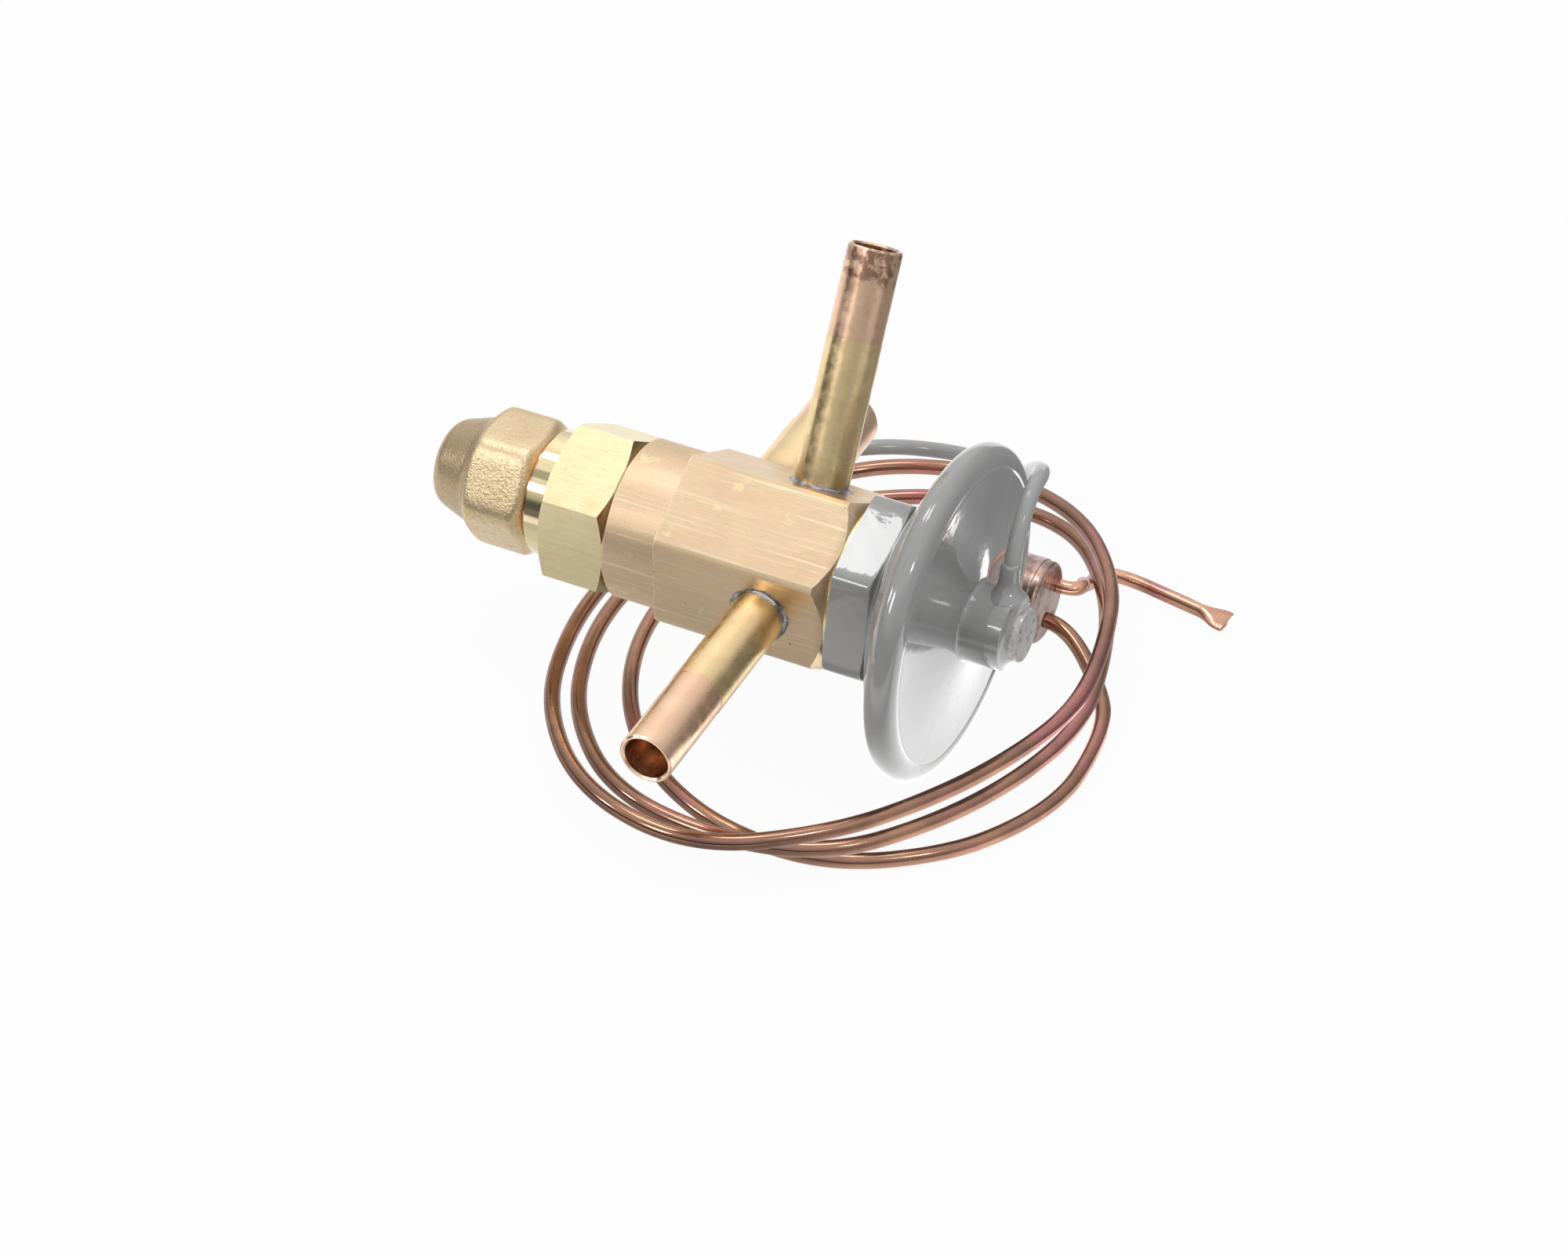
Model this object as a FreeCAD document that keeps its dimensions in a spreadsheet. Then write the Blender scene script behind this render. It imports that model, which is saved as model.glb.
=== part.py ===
"""Thermostatic expansion valve with external equalizer, power element, capillary and sensing bulb.

Millimetres. Stations run along the valve's axis from the inlet tube's centre line: minus
towards the seal cap, plus towards the power element. The valve lies on its side, on the rim of
the power element, with the inlet tube towards -Y and the outlet tube towards +Y.
The document's own origin is on the floor, under the middle of the rigid valve.
"""
import FreeCAD, Part
import math
import os
import re
import Sketcher
from FreeCAD import Placement, Rotation, Vector

# Driving dimensions
SIZES = [
    ("cap_reach", 56.0),
    ("hub_reach", 34.7),
    ("inlet_reach", 46.2),
    ("equalizer_reach", 46.5),
    ("outlet_reach", 34.8),
    ("rim_radius", 24.63),
    ("edge_break", 0.5),
    ("overcut", 1.0),
    # Body: a brass bar with hexagon, turned ends and the drilled passages
    ("body_flats", 24.2),
    ("body_turn", 30.0),
    ("body_left", -25.3),
    ("hex_left", -16.5),
    ("hex_shoulder", 8.0),
    ("hex_right", 10.0),
    ("corner_radius", 13.7),
    ("shoulder_radius", 11.9),
    ("round_radius", 11.75),
    ("nipple_radius", 10.0),
    ("nipple_right", 16.0),
    ("recess_left", 12.0),
    ("recess_radius", 7.0),
    ("inlet_chamber_radius", 3.0),
    ("inlet_chamber_right", 3.0),
    ("drill_point", 1.2),
    ("seat_left", -7.5),
    ("seat_right", -4.5),
    ("seat_radius", 4.5),
    ("port_radius", 1.3),
    ("chamber_radius", 8.0),
    ("mouth_radius", 8.5),
    ("mouth_floor", -18.0),
    ("tube_floor", 9.0),
    ("tube_seat_gap", 0.05),
    ("inlet_drill_radius", 2.2),
    ("outlet_drill_radius", 3.5),
    ("equalizer_drill_radius", 1.5),
    ("passage_radius", 1.0),
    ("passage_offset", 5.6),
    ("rod_offset", 6.0),
    ("rod_radius", 0.8),
    ("rod_gap", 0.075),
    # Connection tubes
    ("tube_radius", 3.97),
    ("tube_step", 0.05),
    ("tube_bore_radius", 2.7),
    ("socket_radius", 3.225),
    ("socket_depth", 10.0),
    ("lip", 0.25),
    ("inlet_seam", 15.0),
    ("equalizer_seam", 13.2),
    ("equalizer_station", 0.8),
    ("outlet_station", -9.2),
    ("outlet_root_radius", 5.65),
    ("outlet_radius", 5.44),
    ("outlet_bore_radius", 4.0),
    ("outlet_socket_radius", 4.775),
    ("outlet_seam", 8.0),
    ("solder_width", 0.8),
    ("solder_climb", 0.9),
    ("strainer_radius", 2.3),
    ("strainer_length", 8.0),
    ("strainer_wall", 0.4),
    ("strainer_flange", 0.5),
    ("strainer_seat_radius", 2.95),
    # Pin, carrier, spring and adjustment
    ("carrier_radius", 7.6),
    ("carrier_left", -13.0),
    ("carrier_right", -9.2),
    ("carrier_boss_radius", 4.3),
    ("carrier_boss_left", -15.0),
    ("pin_radius", 1.2),
    ("pin_left", -13.0),
    ("pin_cone_left", -8.6),
    ("pin_tip", -6.2),
    ("pin_tip_radius", 0.25),
    ("spring_mean_radius", 5.3),
    ("spring_wire_radius", 0.7),
    ("spring_turns", 5.0),
    ("guide_left", -28.3),
    ("guide_right", -25.3),
    ("guide_radius", 6.3),
    ("guide_lug_width", 1.9),
    ("guide_lug_reach", 7.3),
    ("guide_thread_radius", 2.5),
    ("stem_right", -20.0),
    ("stem_thread_radius", 2.42),
    ("stem_radius", 2.45),
    ("stem_collar_right", -31.1),
    ("stem_collar_left", -32.4),
    ("stem_collar_radius", 3.8),
    ("stem_square_right", -45.5),
    ("stem_left", -49.5),
    ("stem_square", 3.4),
    # Spring housing: the yellow hexagon behind the cap
    ("nut_flats", 22.2),
    ("nut_turn", 26.25),
    ("nut_left", -35.4),
    ("nut_chamfer", 1.0),
    ("nut_face_radius", 11.3),
    ("insert_radius", 8.45),
    ("insert_right", -18.2),
    ("spring_bore_radius", 6.6),
    ("spring_bore_floor", -31.0),
    ("keyway_width", 2.2),
    ("keyway_reach", 7.6),
    ("collar_bore_radius", 4.0),
    ("collar_bore_floor", -32.6),
    ("stem_hole_radius", 2.55),
    ("packing_floor", -36.0),
    ("packing_bore_radius", 4.5),
    ("packing_gap", 0.05),
    ("neck_radius", 9.3),
    ("neck_left", -38.7),
    ("thread_radius", 7.0),
    ("thread_left", -46.0),
    ("seal_left", -39.0),
    ("gland_left", -43.5),
    ("gland_slot", 1.0),
    ("gland_slot_depth", 1.2),
    # Seal cap: a cast hexagon with a blunt nose
    ("cap_right", -39.3),
    ("cap_flats", 17.7),
    ("cap_turn", 51.6),
    ("cap_face_radius", 8.7),
    ("cap_chamfer_right", -40.3),
    ("cap_shoulder_right", -46.3),
    ("cap_shoulder_left", -48.0),
    ("cap_shoulder_radius", 8.8),
    ("cap_waist", -51.0),
    ("cap_waist_radius", 7.15),
    ("cap_waist_curve", 9.0),
    ("cap_nose", -52.56),
    ("cap_nose_radius", 6.42),
    ("cap_end_radius", 4.1),
    ("cap_end_curve", 2.5),
    ("cap_bore_radius", 7.1),
    ("cap_bore_floor", -46.4),
    ("cap_well_radius", 4.4),
    ("cap_well_floor", -52.0),
    ("washer_inner_radius", 7.15),
    ("washer_outer_radius", 8.5),
    # Power element
    ("gasket_left", 10.0),
    ("gasket_radius", 12.35),
    ("collar_left", 10.5),
    ("collar_right", 16.6),
    ("collar_flats", 25.4),
    ("collar_turn", 17.75),
    ("collar_bore", 10.05),
    ("collar_corner_break", 0.25),
    ("flare_start", 16.8),
    ("flare_start_radius", 12.9),
    ("flare_knee", 20.6),
    ("flare_knee_radius", 21.0),
    ("flare_curve", 30.0),
    ("rim_station", 23.5),
    ("rim_roll", 2.0),
    ("rim_lip_radius", 22.15),
    ("dish_start", 16.4),
    ("dish_start_radius", 11.0),
    ("dish_edge", 22.7),
    ("dish_edge_radius", 21.6),
    ("diaphragm_left", 23.4),
    ("diaphragm_thickness", 0.2),
    ("clamp_radius", 23.15),
    ("clamp_left", 24.8),
    ("wave_start", 8.0),
    ("wave_width", 1.5),
    ("wave_curve", 1.6),
    ("wave_count", 8.0),
    ("buffer_left", 20.5),
    ("buffer_right", 23.1),
    ("buffer_radius", 13.0),
    ("face_left", 25.5),
    ("face_right", 27.3),
    ("face_inner_radius", 6.5),
    ("face_curve", 80.0),
    ("cover_wall", 1.2),
    ("cover_edge_radius", 20.4),
    ("cover_hole_radius", 1.5),
    ("hub_radius", 5.6),
    ("hub_end_curve", 1.6),
    ("hub_bore_right", 33.4),
    # Capillary, sensing bulb and charging tail
    ("capillary_radius", 1.19),
    ("capillary_station", 32.0),
    ("capillary_root", 3.6),
    ("braze_radius", 3.1),
    ("braze_top_radius", 1.45),
    ("braze_top", 7.2),
    ("coil_centre_x", 4.0),
    ("coil_centre_y", 8.0),
    ("coil_top", 6.45),
    ("coil_middle", 3.85),
    ("coil_bottom", 1.25),
    ("bulb_radius", 6.35),
    ("bulb_left", -16.5),
    ("bulb_right", 25.2),
    ("bulb_y", 28.7),
    ("bulb_wall", 0.8),
    ("bulb_end_curve", 3.0),
    ("bulb_cap_radius", 6.2),
    ("bulb_cap_thickness", 1.3),
    ("bulb_plug_depth", 1.6),
    ("bulb_seam", 0.6),
    ("tail_radius", 1.05),
    ("tail_tip_length", 3.2),
    ("tail_tip_width", 4.2),
    ("tail_tip_thickness", 0.9),
]

# Directions in which the three tubes leave the body
INLET_WAY = Vector(0, -1, 0)
OUTLET_WAY = Vector(0, 1, 0)
EQUALIZER_WAY = Vector(0, 0.5, math.sqrt(0.75))

# The capillary's way out of the hub, and its free bend over the rim to the coil (x, y, z)
LEAD_WAY = Vector(-0.5, 2.5, 10.0).normalize()
LEAD_POINTS = [
    (31.5, 2.5, 10.0),
    (31.0, 9.5, 17.0),
    (30.0, 16.5, 15.5),
    (26.0, 24.2, 9.5),
    (21.0, 33.0, 1.0),
    (15.0, 42.0, -8.0),
    (4.0, 51.0, -13.5),
]

# Radius of the loose coil at every sixteenth of a turn, from behind the valve on, and the places
# where both upper turns ride a little higher over the run to the bulb
COIL_START = 112.5
COIL_STEP = 22.5
COIL_RADII = [
    47.2, 42.2, 38.6, 37.6, 40.2, 45.2, 49.4, 49.4, 41.6, 36.2, 34.6, 36.0, 37.2, 41.8, 46.8, 47.6,
    45.2, 38.2, 34.8, 35.8, 37.6, 41.0, 44.2, 43.8, 43.0, 38.2, 36.4, 37.0, 37.2, 41.0, 46.2, 43.8,
    40.4, 36.4, 32.8, 31.0, 31.2, 32.8, 35.8, 39.2, 42.2, 42.2,
]
COIL_LIFT = {10: 0.3, 11: 0.55, 12: 0.55, 13: 0.3, 26: 0.3, 27: 0.55, 28: 0.55, 29: 0.3}

# Angle at which the coil starts to fall from one turn to the next, and the angle of the fall
FALL_START = 412.0
FALL_SPAN = 68.0

# Last bends of the capillary, from the coil's lowest turn up to the face of the bulb
BULB_POINTS = [
    (40.5, -12.0, -23.38),
    (43.5, -3.0, -23.38),
    (43.5, 5.0, -23.38),
    (42.5, 12.5, -23.38),
    (40.0, 18.5, -23.2),
    (30.5, 28.2, -20.95),
    (26.5, 28.2, -20.95),
]

# Charging tail, from the bulb's face down under the coil to its pinched tip
TAIL_POINTS = [
    (26.5, 32.7, -17.8),
    (29.0, 32.7, -17.8),
    (29.9, 34.8, -18.2),
    (28.3, 37.9, -20.5),
    (27.9, 41.0, -23.4),
    (28.6, 45.0, -23.5),
    (33.0, 45.4, -23.5),
    (39.5, 44.2, -23.5),
    (46.5, 42.9, -23.5),
]

doc = FreeCAD.newDocument("expansion_valve")
sizes = doc.addObject("Spreadsheet::Sheet", "sizes")
for row, (word, number) in enumerate(SIZES, start=1):
    sizes.set(f"A{row}", word.replace("_", " "))
    sizes.set(f"B{row}", str(number))
    sizes.setAlias(f"B{row}", word)
doc.recompute()

pieces = {}


def bound(formula):
    """A formula in the sheet's own words, written so that an expression finds the cells."""
    return re.sub(r"\b(?!sqrt\b)[a-z]\w*", lambda word: "sizes." + word.group(), formula)


def amount(formula):
    """The number that a formula has now, for the places where a drawing needs a first value."""
    return float(sizes.evalExpression(bound(formula)))


# The valve's axis crosses the inlet tube here, over the document's origin
VALVE = ("(cap_reach - hub_reach) / 2", "(inlet_reach - outlet_reach) / 2", "rim_radius")
TUBE_SEAT = "tube_radius + tube_seat_gap"


def valve_point():
    return Vector(*(amount(part) for part in VALVE))


def set_place(thing, rotation=Rotation(), shift=("0", "0", "0")):
    """Give a piece its Placement: the valve's crossing point plus a shift of its own."""
    thing.Placement = Placement(Vector(), rotation)
    for axis, base, offset in zip("xyz", VALVE, shift):
        thing.setExpression(f".Placement.Base.{axis}", bound(f"{base} + {offset}"))


def keep(name, thing):
    """List a finished piece under the name that its file gets."""
    thing.Label = name
    pieces[name] = thing
    return thing


def new_body(name, rotation=Rotation(), shift=("0", "0", "0")):
    body = doc.addObject("PartDesign::Body", name)
    set_place(body, rotation, shift)
    return keep(name, body)


def origin_plane(body, role):
    return [plane for plane in body.Origin.OriginFeatures if plane.Role == role][0]


def bulge_centre(start, end, radius, side):
    """Centre of the lesser arc from start to end that bends left (side 1) or right (side -1)."""
    chord = end - start
    rise = math.sqrt(max(radius ** 2 - chord.Length ** 2 / 4, 0.0))
    left = Vector(-chord.y, chord.x, 0).normalize()
    return (start + end) / 2 + left * (rise * side)


def outline(body, name, corners, role="XY_Plane"):
    """A closed sketch through corners (x, y), or (x, y, radius, side) where an arc starts.

    Every corner is held by two distances from the origin, and every arc by its radius.
    """
    sketch = body.newObject("Sketcher::SketchObject", f"{body.Name}_{name}")
    sketch.AttachmentSupport = [(origin_plane(body, role), "")]
    sketch.MapMode = "FlatFace"
    points = [Vector(amount(corner[0]), amount(corner[1]), 0) for corner in corners]
    first_ends = []
    last_ends = []
    for number, corner in enumerate(corners):
        start = points[number]
        end = points[(number + 1) % len(points)]
        backwards = len(corner) == 4 and corner[3] < 0
        first_ends.append(2 if backwards else 1)
        last_ends.append(1 if backwards else 2)
        if len(corner) == 2:
            sketch.addGeometry(Part.LineSegment(start, end), False)
            continue
        radius = amount(corner[2])
        centre = bulge_centre(start, end, radius, corner[3])
        ends = [end, start] if backwards else [start, end]
        angles = [math.atan2(point.y - centre.y, point.x - centre.x) for point in ends]
        circle = Part.Circle(centre, Vector(0, 0, 1), radius)
        sketch.addGeometry(Part.ArcOfCircle(circle, *angles), False)
    for number, corner in enumerate(corners):
        following = (number + 1) % len(corners)
        joint = ("Coincident", number, last_ends[number], following, first_ends[following])
        sketch.addConstraint(Sketcher.Constraint(*joint))
        for kind, value, formula in zip(("DistanceX", "DistanceY"), points[number][:2], corner):
            held = (kind, -1, 1, number, first_ends[number], value)
            index = sketch.addConstraint(Sketcher.Constraint(*held))
            sketch.setExpression(f"Constraints[{index}]", bound(formula))
        if len(corner) == 4:
            held = ("Radius", number, amount(corner[2]))
            index = sketch.addConstraint(Sketcher.Constraint(*held))
            sketch.setExpression(f"Constraints[{index}]", bound(corner[2]))
    return sketch


def turned(body, name, corners, kind="PartDesign::Revolution"):
    """Turn an outline of stations and radii about the piece's X axis."""
    sketch = outline(body, name + "_profile", corners)
    feature = body.newObject(kind, f"{body.Name}_{name}")
    feature.Profile = sketch
    feature.ReferenceAxis = (sketch, ["H_Axis"])
    feature.Angle = 360
    doc.recompute()
    return feature


def bored(body, name, corners):
    """Cut a turned outline out of a piece."""
    return turned(body, name, corners, "PartDesign::Groove")


def hexagon(body, name, flats, angle, left, right):
    """Hexagonal bar from one station to another; angle turns a corner from +Y towards +Z."""
    bar = body.newObject("PartDesign::AdditivePrism", f"{body.Name}_{name}")
    bar.AttachmentSupport = [(origin_plane(body, "YZ_Plane"), "")]
    bar.MapMode = "FlatFace"
    bar.Polygon = 6
    bar.AttachmentOffset = Placement(Vector(), Rotation(Vector(0, 0, 1), amount(angle)))
    bar.setExpression(".AttachmentOffset.Rotation.Angle", bound(angle))
    bar.setExpression(".AttachmentOffset.Base.z", bound(left))
    bar.setExpression("Circumradius", bound(f"{flats} / sqrt(3)"))
    bar.setExpression("Height", bound(f"{right} - ({left})"))
    doc.recompute()
    return bar


def drilled(body, name, radius, start, way, length):
    """Straight round hole from a start point (station and distance along way) outwards."""
    hole = body.newObject("PartDesign::SubtractiveCylinder", f"{body.Name}_{name}")
    hole.MapMode = "Deactivated"
    hole.Placement = Placement(Vector(), Rotation(Vector(0, 0, 1), way))
    for axis, formula in zip("xyz", start):
        hole.setExpression(f".Placement.Base.{axis}", bound(formula))
    hole.setExpression("Radius", bound(radius))
    hole.setExpression("Height", bound(length))
    doc.recompute()
    return hole


def along(way, distance, station="0"):
    """The point at a distance from the axis in one direction, as three formulas."""
    return tuple(f"{start} + ({distance}) * {share!r}"
                 for start, share in zip((station, "0", "0"), (way.x, way.y, way.z)))


def tube_frame(way):
    """Rotation that lays a turned piece's X axis along a tube's direction."""
    return Rotation(Vector(1, 0, 0), way)


def make_valve_body():
    body = new_body("valve_body")
    hexagon(body, "bar", "body_flats", "body_turn", "hex_left", "hex_right")
    bored(body, "corners", [
        ("hex_left - overcut", "corner_radius"),
        ("hex_shoulder", "corner_radius"),
        ("hex_right", "shoulder_radius"),
        ("hex_right", "corner_radius + overcut"),
        ("hex_left - overcut", "corner_radius + overcut"),
    ])
    turned(body, "core", [
        ("body_left", "0"),
        ("nipple_right", "0"),
        ("nipple_right", "nipple_radius - edge_break"),
        ("nipple_right - edge_break", "nipple_radius"),
        ("hex_left", "nipple_radius"),
        ("hex_left", "round_radius"),
        ("body_left + edge_break", "round_radius"),
        ("body_left", "round_radius - edge_break"),
    ])
    bored(body, "chambers", [
        ("body_left - overcut", "0"),
        ("inlet_chamber_right + drill_point", "0"),
        ("inlet_chamber_right", "inlet_chamber_radius"),
        ("seat_right", "inlet_chamber_radius"),
        ("seat_right", "seat_radius"),
        ("seat_left", "seat_radius"),
        ("seat_left", "chamber_radius"),
        ("mouth_floor", "chamber_radius"),
        ("mouth_floor", "mouth_radius"),
        ("body_left - overcut", "mouth_radius"),
    ])
    bored(body, "recess", [
        ("recess_left", "0"),
        ("nipple_right + overcut", "0"),
        ("nipple_right + overcut", "recess_radius"),
        ("recess_left", "recess_radius"),
    ])
    seat_depth = "corner_radius - tube_floor + overcut"
    drilled(body, "inlet_seat", TUBE_SEAT, along(INLET_WAY, "tube_floor"), INLET_WAY, seat_depth)
    drilled(body, "inlet_drill", "inlet_drill_radius", along(INLET_WAY, "0"), INLET_WAY,
            "tube_floor + overcut")
    drilled(body, "outlet_seat", "outlet_root_radius + tube_seat_gap",
            along(OUTLET_WAY, "tube_floor", "outlet_station"), OUTLET_WAY, seat_depth)
    drilled(body, "outlet_drill", "outlet_drill_radius",
            along(OUTLET_WAY, "chamber_radius / 2", "outlet_station"), OUTLET_WAY, "tube_floor - overcut")
    drilled(body, "equalizer_seat", TUBE_SEAT,
            along(EQUALIZER_WAY, "tube_floor", "equalizer_station"), EQUALIZER_WAY, seat_depth)
    drilled(body, "equalizer_drill", "equalizer_drill_radius",
            along(EQUALIZER_WAY, "passage_offset", "equalizer_station"), EQUALIZER_WAY,
            "tube_floor - passage_offset + overcut")
    drilled(body, "passage", "passage_radius",
            along(EQUALIZER_WAY, "passage_offset", "equalizer_station"), Vector(1, 0, 0),
            "recess_left - equalizer_station + overcut")
    for side in (1, -1):
        drilled(body, f"rod_hole_{'upper' if side > 0 else 'lower'}", "rod_radius + rod_gap",
                ("seat_left - overcut", "0", f"rod_offset * {side}"), Vector(1, 0, 0),
                "recess_left - seat_left + overcut * 2")


def make_small_tube(name, way, reach, seam, station, strainer_seat=False):
    """Copper connection tube with an inner socket, a fine step and an eased lip."""
    body = new_body(name, tube_frame(way), (station, "0", "0"))
    floor = f"{reach} - socket_depth"
    bore = [("tube_floor", "tube_bore_radius"), (floor, "tube_bore_radius")]
    if strainer_seat:
        bore.append((floor, "strainer_seat_radius"))
        floor += " + strainer_flange"
        bore.append((floor, "strainer_seat_radius"))
    turned(body, "wall", bore + [
        (floor, "socket_radius"),
        (f"{reach} - lip", "socket_radius"),
        (reach, "socket_radius + lip"),
        (reach, "tube_radius - tube_step - lip"),
        (f"{reach} - lip", "tube_radius - tube_step"),
        (f"{reach} - {seam}", "tube_radius - tube_step"),
        (f"{reach} - {seam}", "tube_radius"),
        ("tube_floor", "tube_radius"),
    ])


def make_outlet_tube():
    body = new_body("outlet_tube", tube_frame(OUTLET_WAY), ("outlet_station", "0", "0"))
    turned(body, "wall", [
        ("tube_floor", "outlet_bore_radius"),
        ("outlet_reach - outlet_seam", "outlet_bore_radius"),
        ("outlet_reach - outlet_seam", "outlet_socket_radius"),
        ("outlet_reach - lip", "outlet_socket_radius"),
        ("outlet_reach", "outlet_socket_radius + lip"),
        ("outlet_reach", "outlet_radius - lip"),
        ("outlet_reach - lip", "outlet_radius"),
        ("outlet_reach - outlet_seam", "outlet_radius"),
        ("outlet_reach - outlet_seam - tube_step", "outlet_root_radius"),
        ("tube_floor", "outlet_root_radius"),
    ])


def make_solder_ring(name, way, station, radius):
    """Fillet of solder in the corner between a flat of the body and a tube, hollow outside."""
    body = new_body(name, tube_frame(way), (station, "0", "0"))
    turned(body, "fillet", [
        ("body_flats / 2", radius),
        ("body_flats / 2", f"{radius} + solder_width", "solder_width + solder_climb", -1),
        ("body_flats / 2 + solder_climb", radius),
    ])


def make_strainer():
    """Drawn cup behind the inlet socket's stop, hung by its flange."""
    body = new_body("inlet_strainer", tube_frame(INLET_WAY))
    floor = "inlet_reach - socket_depth"
    turned(body, "cup", [
        (f"{floor} - strainer_length", "0"),
        (f"{floor} - strainer_length", "strainer_radius - edge_break"),
        (f"{floor} - strainer_length + edge_break", "strainer_radius"),
        (floor, "strainer_radius"),
        (floor, "strainer_seat_radius"),
        (f"{floor} + strainer_flange", "strainer_seat_radius"),
        (f"{floor} + strainer_flange", "strainer_radius - strainer_wall"),
        (f"{floor} - strainer_length + strainer_wall", "strainer_radius - strainer_wall"),
        (f"{floor} - strainer_length + strainer_wall", "0"),
    ])


def make_seat_and_pin():
    seat = new_body("valve_seat")
    turned(seat, "ring", [
        ("seat_left", "port_radius + edge_break"),
        ("seat_left + edge_break", "port_radius"),
        ("seat_right", "port_radius"),
        ("seat_right", "seat_radius"),
        ("seat_left", "seat_radius"),
    ])
    pin = new_body("valve_pin")
    turned(pin, "needle", [
        ("pin_left", "0"),
        ("pin_tip", "0"),
        ("pin_tip", "pin_tip_radius"),
        ("pin_cone_left", "pin_radius"),
        ("pin_left", "pin_radius"),
    ])
    carrier = new_body("pin_carrier")
    turned(carrier, "disc", [
        ("carrier_boss_left", "0"),
        ("pin_left", "0"),
        ("pin_left", "pin_radius"),
        ("carrier_right", "pin_radius"),
        ("carrier_right", "carrier_radius - edge_break"),
        ("carrier_right - edge_break", "carrier_radius"),
        ("carrier_left", "carrier_radius"),
        ("carrier_left", "carrier_boss_radius"),
        ("carrier_boss_left", "carrier_boss_radius - edge_break"),
    ])


def make_push_rods():
    for name, side in (("push_rod_upper", 1), ("push_rod_lower", -1)):
        rod = new_body(name, shift=("0", "0", f"rod_offset * {side}"))
        turned(rod, "rod", [
            ("carrier_right", "0"),
            ("buffer_left", "0"),
            ("buffer_left", "rod_radius"),
            ("carrier_right", "rod_radius"),
        ])


def make_spring():
    """Round wire wound on a helix between the pin carrier and the guide."""
    room = "(carrier_left - guide_right - spring_wire_radius * 2)"
    helix = doc.addObject("Part::Helix", "spring_helix")
    helix.setExpression("Radius", bound("spring_mean_radius"))
    helix.setExpression("Height", bound(room))
    helix.setExpression("Pitch", bound(f"{room} / spring_turns"))
    wire = doc.addObject("Part::Circle", "spring_wire")
    wire.setExpression("Radius", bound("spring_wire_radius"))
    wire.Placement = Placement(Vector(), Rotation(Vector(1, 0, 0), 90))
    wire.setExpression(".Placement.Base.x", bound("spring_mean_radius"))
    spring = doc.addObject("Part::Sweep", "superheat_spring")
    spring.Sections = [wire]
    spring.Spine = (helix, [])
    spring.Solid = True
    spring.Frenet = True
    upright = Rotation(Vector(0, 1, 0), 90)
    set_place(spring, upright, ("guide_right + spring_wire_radius", "0", "0"))
    keep("superheat_spring", spring)


def make_guide_and_stem():
    guide = new_body("spring_guide")
    turned(guide, "disc", [
        ("guide_left", "0"),
        ("guide_right", "0"),
        ("guide_right", "guide_radius - edge_break"),
        ("guide_right - edge_break", "guide_radius"),
        ("guide_left", "guide_radius"),
    ])
    lug = guide.newObject("PartDesign::AdditiveBox", "spring_guide_lug")
    lug.MapMode = "Deactivated"
    lug.setExpression("Length", bound("guide_right - guide_left - edge_break"))
    lug.setExpression("Width", bound("guide_lug_width"))
    lug.setExpression("Height", bound("guide_lug_reach"))
    lug.setExpression(".Placement.Base.x", bound("guide_left"))
    lug.setExpression(".Placement.Base.y", bound("guide_lug_width / -2"))
    doc.recompute()
    drilled(guide, "thread", "guide_thread_radius", ("guide_left - overcut", "0", "0"),
            Vector(1, 0, 0), "guide_right - guide_left + overcut * 2")
    stem = new_body("adjusting_stem")
    turned(stem, "shaft", [
        ("stem_square_right", "0"),
        ("stem_right", "0"),
        ("stem_right", "stem_thread_radius - edge_break"),
        ("stem_right - edge_break", "stem_thread_radius"),
        ("stem_collar_right", "stem_thread_radius"),
        ("stem_collar_right", "stem_collar_radius"),
        ("stem_collar_left", "stem_collar_radius"),
        ("stem_collar_left", "stem_radius"),
        ("stem_square_right", "stem_radius"),
    ])
    square = stem.newObject("PartDesign::AdditiveBox", "adjusting_stem_square")
    square.MapMode = "Deactivated"
    square.setExpression("Length", bound("stem_square_right - stem_left"))
    square.setExpression("Width", bound("stem_square"))
    square.setExpression("Height", bound("stem_square"))
    square.setExpression(".Placement.Base.x", bound("stem_left"))
    square.setExpression(".Placement.Base.y", bound("stem_square / -2"))
    square.setExpression(".Placement.Base.z", bound("stem_square / -2"))
    doc.recompute()


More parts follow.
